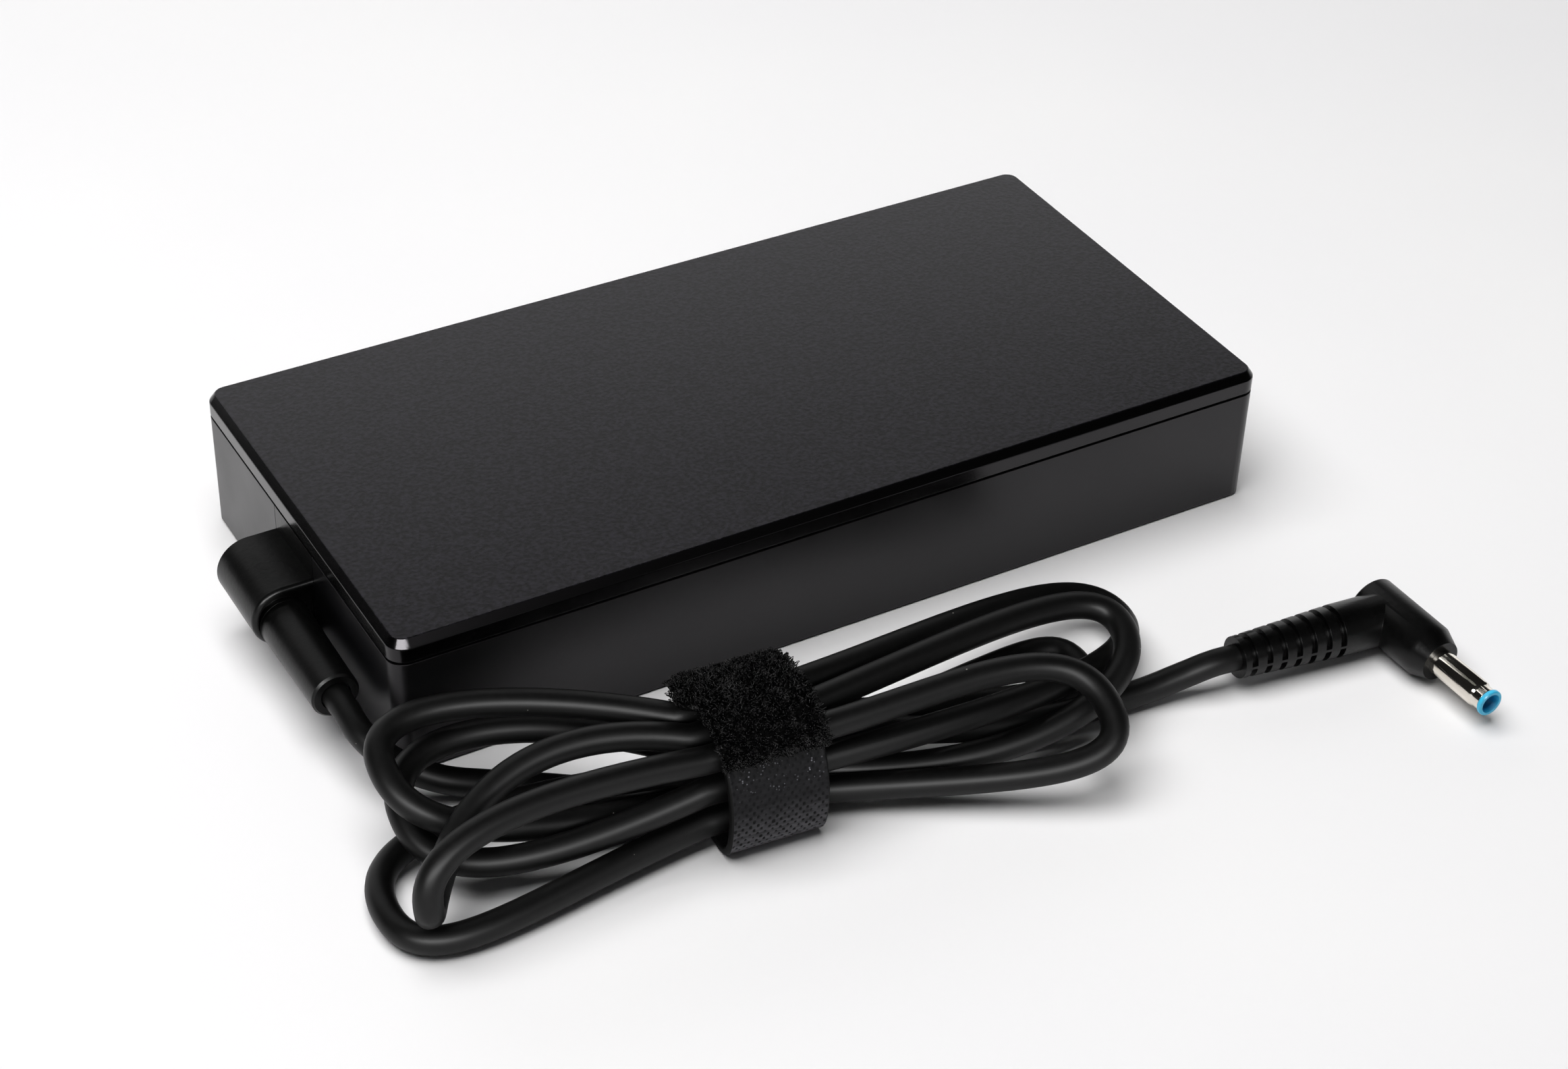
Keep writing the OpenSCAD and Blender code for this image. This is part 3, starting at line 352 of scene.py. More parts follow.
def textured_cover_abs():
    """Moulded ABS: spark-eroded and so matt on the flat top, and polished on the chamfer and the band.

    The grains are 0.36 mm across, and the top starts where Object z comes
    within 0.12 mm of the housing's height.
    """
    material, tree, shader = new_finish("moulded_abs_eroded_top", IOR=1.38, Specular_Tint=COOL)
    eroded = grain(tree, 0.36, 3)
    cloud = grain(tree, 14)
    place = add(tree, "ShaderNodeTexCoord")
    at = add(tree, "ShaderNodeSeparateXYZ", {"Vector": place.outputs["Object"]})
    top_from, top_full = (HOUSING_TOP - 0.12) * MM, (HOUSING_TOP - 0.02) * MM
    is_top = add(tree, "ShaderNodeMapRange", {0: at.outputs["Z"], 1: top_from, 2: top_full})
    matt = add(tree, "ShaderNodeMapRange", {0: cloud, 1: NOISE_LOW, 2: NOISE_HIGH, 3: 0.2, 4: 0.22})
    grey = blend_colours(tree, eroded, "0a0a0b", "1c1b20", 0.38, 0.68)
    colour = add(tree, "ShaderNodeMix", {0: is_top, 6: linear("020202"), 7: grey}, data_type="RGBA")
    grains = add(tree, "ShaderNodeMath", {0: eroded, 1: is_top}, operation="MULTIPLY")
    feed(tree, shader, {
        "Base Color": colour,
        "Roughness": add(tree, "ShaderNodeMix", {0: is_top, 2: 0.19, 3: matt}),
        "Normal": add(tree, "ShaderNodeBump", {"Height": grains, "Distance": 0.02 * MM, "Strength": 0.6}),
    })
    return material


def moulded_plastic(name, low, high, roughness, grain_mm=0.35, depth_mm=0.012, spread=0.04, ior=1.5,
                    tint=PLAIN):
    """Injection-moulded plastic: a fine even grain, and roughness that wanders by spread in 9 mm patches."""
    material, tree, shader = new_finish(name, IOR=ior, Specular_Tint=tint)
    fine = grain(tree, grain_mm, 3)
    cloud = grain(tree, 9)
    wander = {0: cloud, 1: NOISE_LOW, 2: NOISE_HIGH, 3: roughness - spread, 4: roughness + spread}
    feed(tree, shader, {
        "Base Color": blend_colours(tree, fine, low, high),
        "Roughness": add(tree, "ShaderNodeMapRange", wander),
        "Normal": add(tree, "ShaderNodeBump", {"Height": fine, "Distance": depth_mm * MM, "Strength": 0.5}),
    })
    return material


def cord_pvc():
    """Soft extruded PVC jacket: satin, faintly drawn along its length, with a little dust."""
    material, tree, shader = new_finish("extruded_pvc_jacket", IOR=1.34)
    drawn = grain(tree, 1.0, where="UV", stretch=(0.05, 1, 1))
    skin = grain(tree, 0.5)
    dust = speck_mask(tree, 5.0, 0.028)
    black = blend_colours(tree, skin, "020202", "060606")
    colour = add(tree, "ShaderNodeMix", {0: dust, 6: black, 7: linear("8a8884")}, data_type="RGBA")
    satin = add(tree, "ShaderNodeMapRange", {0: drawn, 1: NOISE_LOW, 2: NOISE_HIGH, 3: 0.42, 4: 0.52})
    feed(tree, shader, {
        "Base Color": colour,
        "Roughness": satin,
        "Normal": add(tree, "ShaderNodeBump", {"Height": skin, "Distance": 0.02 * MM, "Strength": 0.4}),
    })
    return material


def nickel():
    """Nickel plating, polished: nearly a mirror, slightly warm, with fine rubbing marks along Y."""
    material, tree, shader = new_finish("polished_nickel_plate", Metallic=1.0)
    rub = grain(tree, 0.6, 3, stretch=(1, 0.15, 1))
    polish = add(tree, "ShaderNodeMapRange", {0: rub, 1: NOISE_LOW, 2: NOISE_HIGH, 3: 0.09, 4: 0.16})
    feed(tree, shader, {"Base Color": blend_colours(tree, rub, "d8d2c6", "e6e1d8"), "Roughness": polish})
    return material


def blue_ring():
    """Blue nylon, glossy, with painted shade that makes it a deeper blue inside the bore.

    The distance from the barrel's axis is that of (x + BARREL_SLANT y, z) from
    BARREL_AXIS. The painted shade starts at 1.75 mm and is full at 1.5 mm.
    """
    material, tree, shader = new_finish("moulded_blue_nylon", Roughness=0.28, IOR=1.5)
    place = add(tree, "ShaderNodeTexCoord")
    at = add(tree, "ShaderNodeSeparateXYZ", {"Vector": place.outputs["Object"]})
    across = add(tree, "ShaderNodeMath", {0: at.outputs["Y"], 1: BARREL_SLANT, 2: at.outputs["X"]},
                 operation="MULTIPLY_ADD")
    seen_along = add(tree, "ShaderNodeCombineXYZ", {"X": across, "Z": at.outputs["Z"]})
    axis = (BARREL_AXIS[0] * MM, 0, BARREL_AXIS[1] * MM)
    radius = add(tree, "ShaderNodeVectorMath", {0: seen_along, 1: axis}, operation="DISTANCE")
    # Painted shade of the bore: 148cc2 near the axis, blended in from 1.75 mm to 1.5 mm
    inside = add(tree, "ShaderNodeMapRange", {0: radius, 1: 1.75 * MM, 2: 1.5 * MM})
    sky = blend_colours(tree, grain(tree, 0.5), "33b6e2", "40c2ea")
    colour = add(tree, "ShaderNodeMix", {0: inside, 6: sky, 7: linear("148cc2")}, data_type="RGBA")
    feed(tree, shader, {"Base Color": colour})
    return material


def weave_dots(tree, uv):
    """High at the tape's sunk dots: cos(pi u / DOT_ALONG) cos(pi v / DOT_ACROSS), made a little uneven.

    v starts at the left end of the tape's flat face, FACE_HALF from its middle.
    """
    waves = []
    for axis, half, start in (("X", DOT_ALONG, 0), ("Y", DOT_ACROSS, FACE_HALF)):
        steps = {0: uv.outputs[axis], 1: math.pi / (half * MM), 2: -math.pi * start / half}
        turn = add(tree, "ShaderNodeMath", steps, operation="MULTIPLY_ADD")
        waves.append(add(tree, "ShaderNodeMath", {0: turn}, operation="COSINE"))
    dots = add(tree, "ShaderNodeMath", {0: waves[0], 1: waves[1]}, operation="MULTIPLY")
    uneven = grain(tree, 1.0, 3, "UV")
    return add(tree, "ShaderNodeMath", {0: uneven, 1: 1.6, 2: dots}, operation="MULTIPLY_ADD")


def hook_glint_mask(tree, height):
    """1 on painted glints at the ends of hooks, which show in patches from 12 mm above the table upwards."""
    specks = speck_mask(tree, 0.6, 0.25, "UV")
    patches = add(tree, "ShaderNodeMapRange", {0: grain(tree, 1.0, 3, "UV"), 1: 0.44, 2: 0.54})
    high_up = add(tree, "ShaderNodeMapRange", {0: height, 1: 12 * MM, 2: 14.5 * MM})
    where = add(tree, "ShaderNodeMath", {0: patches, 1: high_up}, operation="MULTIPLY")
    return add(tree, "ShaderNodeMath", {0: specks, 1: where}, operation="MULTIPLY")


def woven_tape():
    """Woven nylon: grey threads, with painted shade that makes the sunk dots between them black.

    Towards the pile the tape is darker and specked with painted glints of hook ends, and
    its cut edges and its inside, past the flat face in v, are black.
    """
    material, tree, shader = new_finish("woven_nylon_tape", Roughness=0.6, IOR=1.5, Specular_IOR_Level=0.12)
    place = add(tree, "ShaderNodeTexCoord")
    uv = add(tree, "ShaderNodeSeparateXYZ", {"Vector": place.outputs["UV"]})
    height = add(tree, "ShaderNodeSeparateXYZ", {"Vector": place.outputs["Object"]}).outputs["Z"]
    thread = grain(tree, 0.35, where="UV", stretch=(1, 0.25, 1))
    colour = blend_colours(tree, thread, "38373a", "656468")
    # Painted shade: the sunk dots of the weave are coloured near-black (030303)
    sunk = add(tree, "ShaderNodeMapRange", {0: weave_dots(tree, uv), 1: 1.05, 2: 1.5})
    near_pile = add(tree, "ShaderNodeMapRange", {0: height, 1: 3 * MM, 2: 10.5 * MM, 4: 0.88})
    cut_from, cut_full = (2 * FACE_HALF - 0.1) * MM, (2 * FACE_HALF + 0.1) * MM
    cut = add(tree, "ShaderNodeMapRange", {0: uv.outputs["Y"], 1: cut_from, 2: cut_full})
    # The hook ends' light grey (9a9aa2) is a painted glint
    for mask, over in (
        (sunk, "030303"), (near_pile, "0c0c0f"), (hook_glint_mask(tree, height), "9a9aa2"), (cut, "060606"),
    ):
        colour = add(tree, "ShaderNodeMix", {0: mask, 6: colour, 7: linear(over)}, data_type="RGBA")
    feed(tree, shader, {
        "Base Color": colour,
        "Normal": add(tree, "ShaderNodeBump", {"Height": thread, "Distance": 0.05 * MM, "Strength": 0.7}),
    })
    return material


def nylon_fibre():
    """Fine nylon loops: black, with grey glints where a filament turns towards the light."""
    material, tree, shader = new_finish("nylon_loop_fibre", Roughness=0.3, IOR=1.5, Specular_IOR_Level=0.22)
    feed(tree, shader, {"Base Color": blend_colours(tree, grain(tree, 0.8), "010101", "3c3b3c", 0.5, 0.8)})
    return material


def wound_copper():
    """Enamelled copper wire: metal, with ridges 3.77 mm apart, coarser than its turns so that they show."""
    material, tree, shader = new_finish("enamelled_copper_wire", Metallic=1.0, Roughness=0.3)
    place = add(tree, "ShaderNodeTexCoord")
    scale = 2 * math.pi / (20 * 3.77 * MM)     # the wave turns 20 radians in each unit
    ridges = add(tree, "ShaderNodeTexWave", {"Vector": place.outputs["Object"], "Scale": scale},
                 bands_direction="Z").outputs["Fac"]
    feed(tree, shader, {
        # Painted shade: the colour is darker in the grooves between the ridges and lighter on their crests
        "Base Color": blend_colours(tree, ridges, "8f4a22", "c97a45"),
        "Normal": add(tree, "ShaderNodeBump", {"Height": ridges, "Distance": 0.15 * MM, "Strength": 0.6}),
    })
    return material


def rolled_aluminium():
    """Bare aluminium sheet: bright and satin, with faint rolling marks along X."""
    material, tree, shader = new_finish("rolled_aluminium_sheet", Metallic=1.0)
    rolled = grain(tree, 0.5, 3, stretch=(0.05, 1, 1))
    satin = add(tree, "ShaderNodeMapRange", {0: rolled, 1: NOISE_LOW, 2: NOISE_HIGH, 3: 0.28, 4: 0.4})
    feed(tree, shader, {"Base Color": blend_colours(tree, rolled, "c9cbce", "d8dadc"), "Roughness": satin})
    return material


FINISH = {
    "cover": textured_cover_abs(),
    # Black ABS from a satin mould: soft highlights along its edges
    "tub": moulded_plastic("moulded_abs_satin", "030304", "070708", 0.33, grain_mm=0.4, ior=1.38, tint=COOL),
    # Black glass-filled nylon: even and a little duller than the case
    "inlet": moulded_plastic("moulded_nylon_black", "060607", "0a0a0b", 0.4),
    # Soft black PVC, moulded over the cord: satin, with an uneven skin
    "relief": moulded_plastic("moulded_soft_pvc", "020202", "060606", 0.33,
                              depth_mm=0.05, spread=0.06, ior=1.33),
    "cord": cord_pvc(),
    "nickel": nickel(),
    "blue": blue_ring(),
    "weave": woven_tape(),
    # Napped nylon under the loops: black, with hardly any gloss
    "pile": moulded_plastic("napped_nylon_base", "010101", "030303", 0.9,
                            grain_mm=0.25, depth_mm=0.05, ior=1.15),
    "fibre": nylon_fibre(),
    # Red wire insulation: smooth and slightly glossy
    "red": moulded_plastic("wire_insulation_red", "8c2218", "96281c", 0.4),
    # Fish paper: a buff, fibrous board without gloss
    "paper": moulded_plastic("insulating_fish_paper", "cbbf9f", "d6cbae", 0.8, grain_mm=1.2, depth_mm=0.02),
    # Glass laminate under green lacquer: smooth, with the cloth just showing
    "laminate": moulded_plastic("green_glass_laminate", "2b6a3c", "347a46", 0.35,
                                grain_mm=0.8, depth_mm=0.01),
    # Glazed ceramic: off-white and glossy
    "ceramic": moulded_plastic("glazed_fuse_ceramic", "dcd7cc", "e4dfd6", 0.25),
    # Polyester film tape: yellow, smooth and glossy
    "yellow": moulded_plastic("yellow_polyester_tape", "c9a02a", "d6ad35", 0.35),
    # Ferrite with a green coat: dull and slightly rough
    "green_ferrite": moulded_plastic("green_coated_ferrite", "3c6244", "476f50", 0.45),
    # Bare sintered ferrite: dark grey and finely grained
    "ferrite": moulded_plastic("sintered_ferrite", "37383c", "414247", 0.5, grain_mm=0.4, depth_mm=0.02),
    "copper": wound_copper(),
    # Chip epoxy, moulded in a matt tool: black and dull
    "epoxy": moulded_plastic("chip_epoxy_black", "161617", "1e1e20", 0.55),
    "aluminium": rolled_aluminium(),
    # Shrink sleeve: dark blue and glossy
    "sleeve": moulded_plastic("capacitor_shrink_sleeve", "141a2e", "1b2238", 0.25),
    # Filled silicone: grey-blue, soft and matt
    "pad": moulded_plastic("thermal_pad_silicone", "8791a3", "939dae", 0.7),
}


# ----------------------------------------------------------------- the cord

CORD = 4.4                               # diameter of the cord
CORD_SIDES = 22
CORD_SPACING = 0.9
CORD_START = (-85.2, -26.5, 10)          # inside the collar at the housing
HANK_CENTRE = (-36.4, -68.6)             # the strap's middle on the table
HANK_TURN = -4.5                         # from +X
PASS_HALF = 9.5                          # half length of each straight pass through the strap
COLUMN_STEP, ROW_STEP = 5.4, 6.2         # the passes lie in three columns and three rows
LOWEST_ROW = 3.9                         # height of the lowest row
SPLINE_STEPS, LOOP_STEPS = 12, 40

# Where the plug's neck and elbow cross, and the neck's heading and rise
PLUG_CORNER = np.array([75.5, -82.5, 4.75])
PLUG_TURN, PLUG_PITCH = -5.2, 0.9
NECK_LENGTH = 10.2
RELIEF_LENGTH = 1.6 + 6 * 2.7 + 1        # seven slots, 2.7 mm apart, and what is before and after them

# The free stretches from the collar to the hank and from the hank to the plug
LEAD_POINTS = [
    (-84.8, -37, 8.9), (-82, -42, 6.6), (-76.4, -46, 4), (-69, -49.6, 2.7),
    (-62, -53.8, 2.4), (-55.5, -58.8, 2.8),
]
TAIL_POINTS = [
    (-17, -71.2, 9), (-6, -73, 6), (6, -74.8, 3.4), (18, -76.4, 2.4), (30, -77.4, 2.6), (37, -78.3, 3.8),
]

# The end loops in the cord's order: side, pass left, pass entered, tip, heading
# and slope at the tip, pull before and after it, pull at the strap, fan and rise there
END_LOOPS = [
    (1, (0, 0), (0, 1), (25.5, -66, 2.5), -92, 0, (10, 10), (36, 34), (5, -5), (-0.03, -0.2)),
    (-1, (0, 1), (2, 1), (-86.5, -55, 8.5), -95, -0.45, (14, 11), (25, 32), (46, 1), (0, -0.22)),
    (1, (2, 1), (0, 2), (36.5, -61.5, 5), 88, 0, (11, 15), (42, 28), (-5, 9), (0.05, -0.08)),
    (-1, (0, 2), (1, 0), (-88, -52, 15.6), -93, -0.36, (14, 13), (20, 28), (39, 4), (0, 0.04)),
    (1, (1, 0), (1, 2), (29.4, -71.5, 12.4), 86, 0.25, (12, 11), (36, 32), (-22, 9), (-0.09, 0)),
    (-1, (1, 2), (2, 2), (-91.6, -75.6, 9.6), 90, 6, (10, 10), (40, 30), (20, 2), (0.2, 0.1)),
    (1, (2, 2), (2, 0), (16.2, -87.5, 12.4), -95, -0.45, (15, 13), (22, 28), (0, -17), (0, 0)),
    (-1, (2, 0), (1, 1), (-94.6, -67, 2.3), 87, 0, (16, 17), (30, 30), (-7, 28), (-0.05, -0.25)),
]


def turned(degrees, rise=0.0):
    """Level direction at that angle from +X, with a rise."""
    a = math.radians(degrees)
    return np.array([math.cos(a), math.sin(a), rise])


def at_hank(x, y, z):
    """Points in the hank's own axes: x along its passes, y across them and z up from the table."""
    x, y, z = (np.asarray(v, float)[..., None] for v in (x, y, z))
    along, across, up = turned(HANK_TURN), turned(HANK_TURN + 90), np.array([0, 0, 1])
    return np.array([*HANK_CENTRE, 0]) + x * along + y * across + z * up


def pass_end(place, side):
    """End of the pass in column 0 to 2 (back to front) and row 0 to 2 (low to high)."""
    return at_hank(side * PASS_HALF, (1 - place[0]) * COLUMN_STEP, LOWEST_ROW + place[1] * ROW_STEP)


def end_loop(side, left, entered, tip, heading, slope, pull, reach, fan, rise):
    """Two bezier halves that meet at the tip with the heading given there."""
    start, stop, tip = pass_end(left, side), pass_end(entered, side), np.array(tip, float)
    way = unit(turned(heading, slope))
    base = HANK_TURN + (0 if side > 0 else 180)
    leave = start + reach[0] * turned(base + side * fan[0], rise[0])
    enter = stop + reach[1] * turned(base + side * fan[1], rise[1])
    return np.vstack([
        bezier(start, leave, tip - pull[0] * way, tip, LOOP_STEPS),
        bezier(tip, tip + pull[1] * way, enter, stop, LOOP_STEPS),
        stop[None],
    ])


def cord_path():
    """Centreline from the collar down to the table, through the hank and on to the plug's relief."""
    along = turned(HANK_TURN)
    hank_start = pass_end(END_LOOPS[0][1], -1)
    hank_stop = pass_end(END_LOOPS[-1][2], 1)
    collar = np.array(CORD_START)
    lead = spline([
        collar, collar - [0, CORD, 0], *LEAD_POINTS, hank_start - CORD * along, hank_start,
    ], SPLINE_STEPS)
    loops = [end_loop(*loop) for loop in END_LOOPS]
    pitch = math.radians(PLUG_PITCH)
    neck = turned(PLUG_TURN, -math.tan(pitch)) * math.cos(pitch)
    relief = PLUG_CORNER - (NECK_LENGTH + RELIEF_LENGTH) * neck
    tail = spline([
        hank_stop, hank_stop + CORD * along, *TAIL_POINTS, relief - CORD * neck, relief,
    ], SPLINE_STEPS)
    whole = np.vstack([lead, *loops, tail])
    # Where two stretches meet, their common point is kept once
    new = np.append(True, np.linalg.norm(np.diff(whole, axis=0), axis=1) > 0.01)
    return even(whole[new], CORD_SPACING)


def make_cord():
    """One round tube along the whole centreline, with u along it and v round it in metres."""
    path = cord_path()
    points = capped(swept(path, CORD / 2, CORD_SIDES), path[0], path[-1])
    run = run_length(path)
    u = np.concatenate([[-CORD / 2], run, [run[-1] + CORD / 2]]) * MM
    v = np.arange(CORD_SIDES + 1) / CORD_SIDES * np.pi * CORD * MM
    cord = piece("dc_cord", points, FINISH["cord"], closed_columns=True, uv=(u, v), weld=0.001, flat=60)
    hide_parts("dc_cord_lead", "dc_cord_hank", "dc_cord_tail")
    return cord, path, float(run[-1])


cord, cord_line, cord_length = make_cord()


# ---------------------------------------------------------------- the strap

BAND_THICK, PILE_THICK = 1.2, 1.4
# Outside of the band across the hank: forward (negative) and up
BAND_ROUTE = [
    (0, 0), (-7.6, 0), (-10.8, 1.8), (-12.1, 6), (-12, 11), (-10.7, 15.2),
    (-8.4, 18.4), (-4.8, 20.5), (0, 21.2), (4.8, 20.8), (8.3, 18.8), (9.8, 15),
    (10.1, 10), (9.9, 5), (9.2, 1.6), (6.6, 0),
]
ROUTE_STEPS = 24
PILE_FROM, PILE_TO = 5.5, 10      # the pile covers the band between these points
PILE_EXTRA_STEPS = 5              # and a little more at the back

FACE_POINTS, BACK_POINTS = 84, 12         # of the tape's section, on its face and inside
PLAIN_EDGE, WOVEN_FROM = 0.9, 1.2         # from the tape's edge: plain up to here, woven from there
DOT_DEPTH = 0.16
RIB_DEPTH, RIB_STEP = 0.05, 0.8
RIBS_FROM, RIBS_FULL = 10.5, 12.5         # heights on the band
SELVEDGE_HEIGHT, SELVEDGE_IN, SELVEDGE_WIDE = 0.1, 0.45, 0.25     # its middle is IN from the tape's edge

TAB_REACH = 2.6                   # of the pile's folded end beyond the band
TAB_GROWS, TAB_FADES = (0.48, 0.58), (0.62, 1.0)    # where it does so, as shares of the pile's run
PILE_RIM = 0.1                    # how far the pile's base stands out beyond the band
PILE_GAP = 0.05                   # between the band and the pile's base
PILE_COLUMNS = 60
PILE_END = 0.5                    # length over which each end of the base rounds down
LUMP_HEIGHT = 0.16

PILE_LOOPS = 4300
FRONT_LOOPS, FRONT_SHARE = PILE_LOOPS // 12, 0.06   # so many more stand on the first 6 % of the run
EDGE_SHARE, EDGE_SCATTER = 0.16, 0.012    # of the loops that stand on an edge
LOOP_WIDTH, LOOP_HEIGHT = (0.35, 1.0), (0.35, 1.15)
EDGE_HEIGHT, FRONT_HEIGHT = 0.8, 0.55     # shares of that height on the edges and at the front end
FRONT_RUN = 2.5                           # the height is full this far from the front end
LOOP_LEAN, EDGE_LEAN = 0.35, 0.9
TOP_SINK, EDGE_SINK = 0.12, 0.5           # how deep the loops' feet are in the base
END_SINK, END_RUN = 0.25, 0.6             # and how much deeper they are within so much of its ends
FIBRE_RADIUS = 0.065
FIBRE_RINGS = 7


def band_curve():
    """Outside of the band: forward and up, the outward direction, and the length run so far."""
    route = closed_spline(BAND_ROUTE, ROUTE_STEPS)
    route[:, 1] = np.maximum(route[:, 1], 0)
    way = unit(np.roll(route, -1, axis=0) - np.roll(route, 1, axis=0))
    outward = np.stack([-way[:, 1], way[:, 0]], axis=1)
    return route, outward, run_length(route)


def on_strap(curve, outward, lift, x):
    """Grid of points that stand lift outward from a curve across the hank, at x along the hank."""
    section = curve[:, None] + lift[..., None] * outward[:, None]
    return at_hank(x, section[..., 0], section[..., 1])


def tape_section():
    """Closed section of the tape: x across it and lift from its face, from the face's left end.

    Each corner is a quarter circle of radius r = TAPE_ROUND, with r sin k one
    way and r cos k the other.
    """
    half, r, low = STRAP_WIDTH / 2, TAPE_ROUND, TAPE_ROUND - BAND_THICK
    turn = np.linspace(0, np.pi / 2, 5)[1:-1]
    sine, cosine = r * np.sin(turn), r * np.cos(turn)
    face = np.linspace(-half + r, half - r, FACE_POINTS)
    back = np.linspace(half - r, -half + r, BACK_POINTS)
    x = np.concatenate([
        face, half - r + sine, [half], [half], half - r + cosine,
        back, -half + r - sine, [-half], [-half], -half + r - cosine,
    ])
    lift = np.concatenate([
        0 * face, -r + cosine, [-r], [low], low - sine,
        0 * back - BAND_THICK, low - cosine, [low], [-r], -r + sine,
    ])
    return x, lift


def make_band():
    """Woven tape round the hank.

    Its face sinks by DOT_DEPTH at staggered dots, where
    cos(pi u / DOT_ALONG) cos(pi v / DOT_ACROSS) is high. Near the pile the dots
    are shallower and ribs run across it, (1 - cos(2 pi u / RIB_STEP)) / 2. A
    selvedge exp(-d2) stands up along each edge, d being the distance from its
    middle in SELVEDGE_WIDE.
    """
    route, outward, run = band_curve()
    x, lift = tape_section()
    u, v = run[:, None], x[None]
    is_face = (lift > -0.01)[None]
    from_edge = STRAP_WIDTH / 2 - np.abs(v)
    woven = smooth(from_edge, PLAIN_EDGE, WOVEN_FROM) * is_face
    dots = smooth(np.cos(np.pi * u / DOT_ALONG) * np.cos(np.pi * v / DOT_ACROSS), 0.3, 0.75)
    ribs = 0.5 - 0.5 * np.cos(2 * np.pi * u / RIB_STEP)
    near_pile = smooth(route[:, 1], RIBS_FROM, RIBS_FULL)[:, None]
    sunk = woven * (DOT_DEPTH * dots * (1 - 0.7 * near_pile) + RIB_DEPTH * ribs * near_pile)
    selvedge = SELVEDGE_HEIGHT * np.exp(-(((from_edge - SELVEDGE_IN) / SELVEDGE_WIDE) ** 2)) * is_face
    off_table = (route[:, 1] > 0.3)[:, None]
    points = on_strap(route, outward, lift[None] - sunk + selvedge * off_table, v)
    around = run_length(np.stack([x, lift], axis=1))
    around = np.append(around, around[-1] + TAPE_ROUND)
    closed_run = np.append(run, run[-1] + np.linalg.norm(route[0] - route[-1]))
    band = piece("strap_band_woven", points, FINISH["weave"], closed_rows=True, closed_columns=True,
                 uv=(closed_run * MM, around * MM))
    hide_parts("strap_band")
    return band


def tab_reach(share):
    """How far the folded end stands out to the left, at a share of the pile's run from front to back."""
    return TAB_REACH * smooth(share, *TAB_GROWS) * (1 - 0.9 * smooth(share, *TAB_FADES))


def pile_stretch():
    """The part of the band's outside that carries the pile."""
    route, outward, run = band_curve()
    chosen = slice(int(PILE_FROM * ROUTE_STEPS), PILE_TO * ROUTE_STEPS + PILE_EXTRA_STEPS)
    return route[chosen], outward[chosen], run[chosen] - run[chosen][0]


def signed_power(value, power):
    """Power of a value's size, with the value's sign."""
    return np.sign(value) * np.abs(value) ** power


def make_pile(rng):
    """Base of the pile: a cushion that follows the band's outside, with low lumps on it.

    Round its section, at angle k, x goes as cos k to the power 0.35 and the
    lift as sin k to the power 0.5, which makes it flat with round edges. It
    thins out to nothing at both ends, and only its upper side has lumps.
    """
    route, outward, run = pile_stretch()
    left = -STRAP_WIDTH / 2 - PILE_RIM - tab_reach(run / run[-1])[:, None]
    right = STRAP_WIDTH / 2 + PILE_RIM
    angle = np.linspace(0, 2 * np.pi, PILE_COLUMNS, endpoint=False)
    x = (left + right) / 2 + (right - left) / 2 * signed_power(np.cos(angle), 0.35)
    rise = signed_power(np.sin(angle), 0.5)
    ends = (np.minimum(1, np.minimum(run, run[-1] - run) / PILE_END) ** 0.5)[:, None]
    lumps = LUMP_HEIGHT * rng.standard_normal((len(route), PILE_COLUMNS))
    lumps = 0.5 * lumps + 0.25 * (np.roll(lumps, 1, 1) + np.roll(lumps, -1, 1))
    upper = rise > 0.2
    lift = PILE_GAP + PILE_THICK / 2 * (1 + rise * ends) + lumps * upper * ends
    points = on_strap(route, outward, lift, x)
    points = capped(points, points[0].mean(axis=0), points[-1].mean(axis=0))
    u = np.concatenate([[run[0]], run, [run[-1]]]) * MM
    v = np.linspace(0, 2 * (STRAP_WIDTH + PILE_THICK), PILE_COLUMNS + 1) * MM
    pile = piece("strap_pile_base", points, FINISH["pile"], closed_columns=True, uv=(u, v), weld=0.001)
    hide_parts("strap_pile")
    return pile


def fibres(name, paths, radius, finish):
    """Closed three-sided fibres along paths [fibre, ring, xyz].

    At angle k a ring's point is path[i] + radius (cos k n + sin k b), and both
    ends have a face.
    """
    count, rings = paths.shape[:2]
    way = unit(np.gradient(paths, axis=1))
    odd_way = np.array([0.31, 0.52, 0.79])     # any direction that the fibres don't take
    normal = unit(np.cross(way, odd_way))
    binormal = np.cross(way, normal)
    angle = (2 * np.pi * np.arange(3) / 3)[:, None]
    ring = np.cos(angle) * normal[:, :, None] + np.sin(angle) * binormal[:, :, None]
    verts = (paths[:, :, None] + radius * ring).reshape(-1, 3) * MM
    first = (np.arange(count) * rings * 3)[:, None, None]
    i, k = np.arange(rings - 1)[:, None], np.arange(3)[None]
    k2 = (k + 1) % 3
    quads = np.stack([i * 3 + k, i * 3 + k2, (i + 1) * 3 + k2, (i + 1) * 3 + k], axis=-1)
    quads = (first[..., None] + quads[None]).reshape(-1, 4)
    caps = np.concatenate([first[:, 0] + [[0, 2, 1]], first[:, 0] + (rings - 1) * 3 + [[0, 1, 2]]])
    mesh = bpy.data.meshes.new(name)
    mesh.from_pydata(verts.tolist(), [], quads.tolist() + caps.tolist())
    return added(name, mesh, finish)


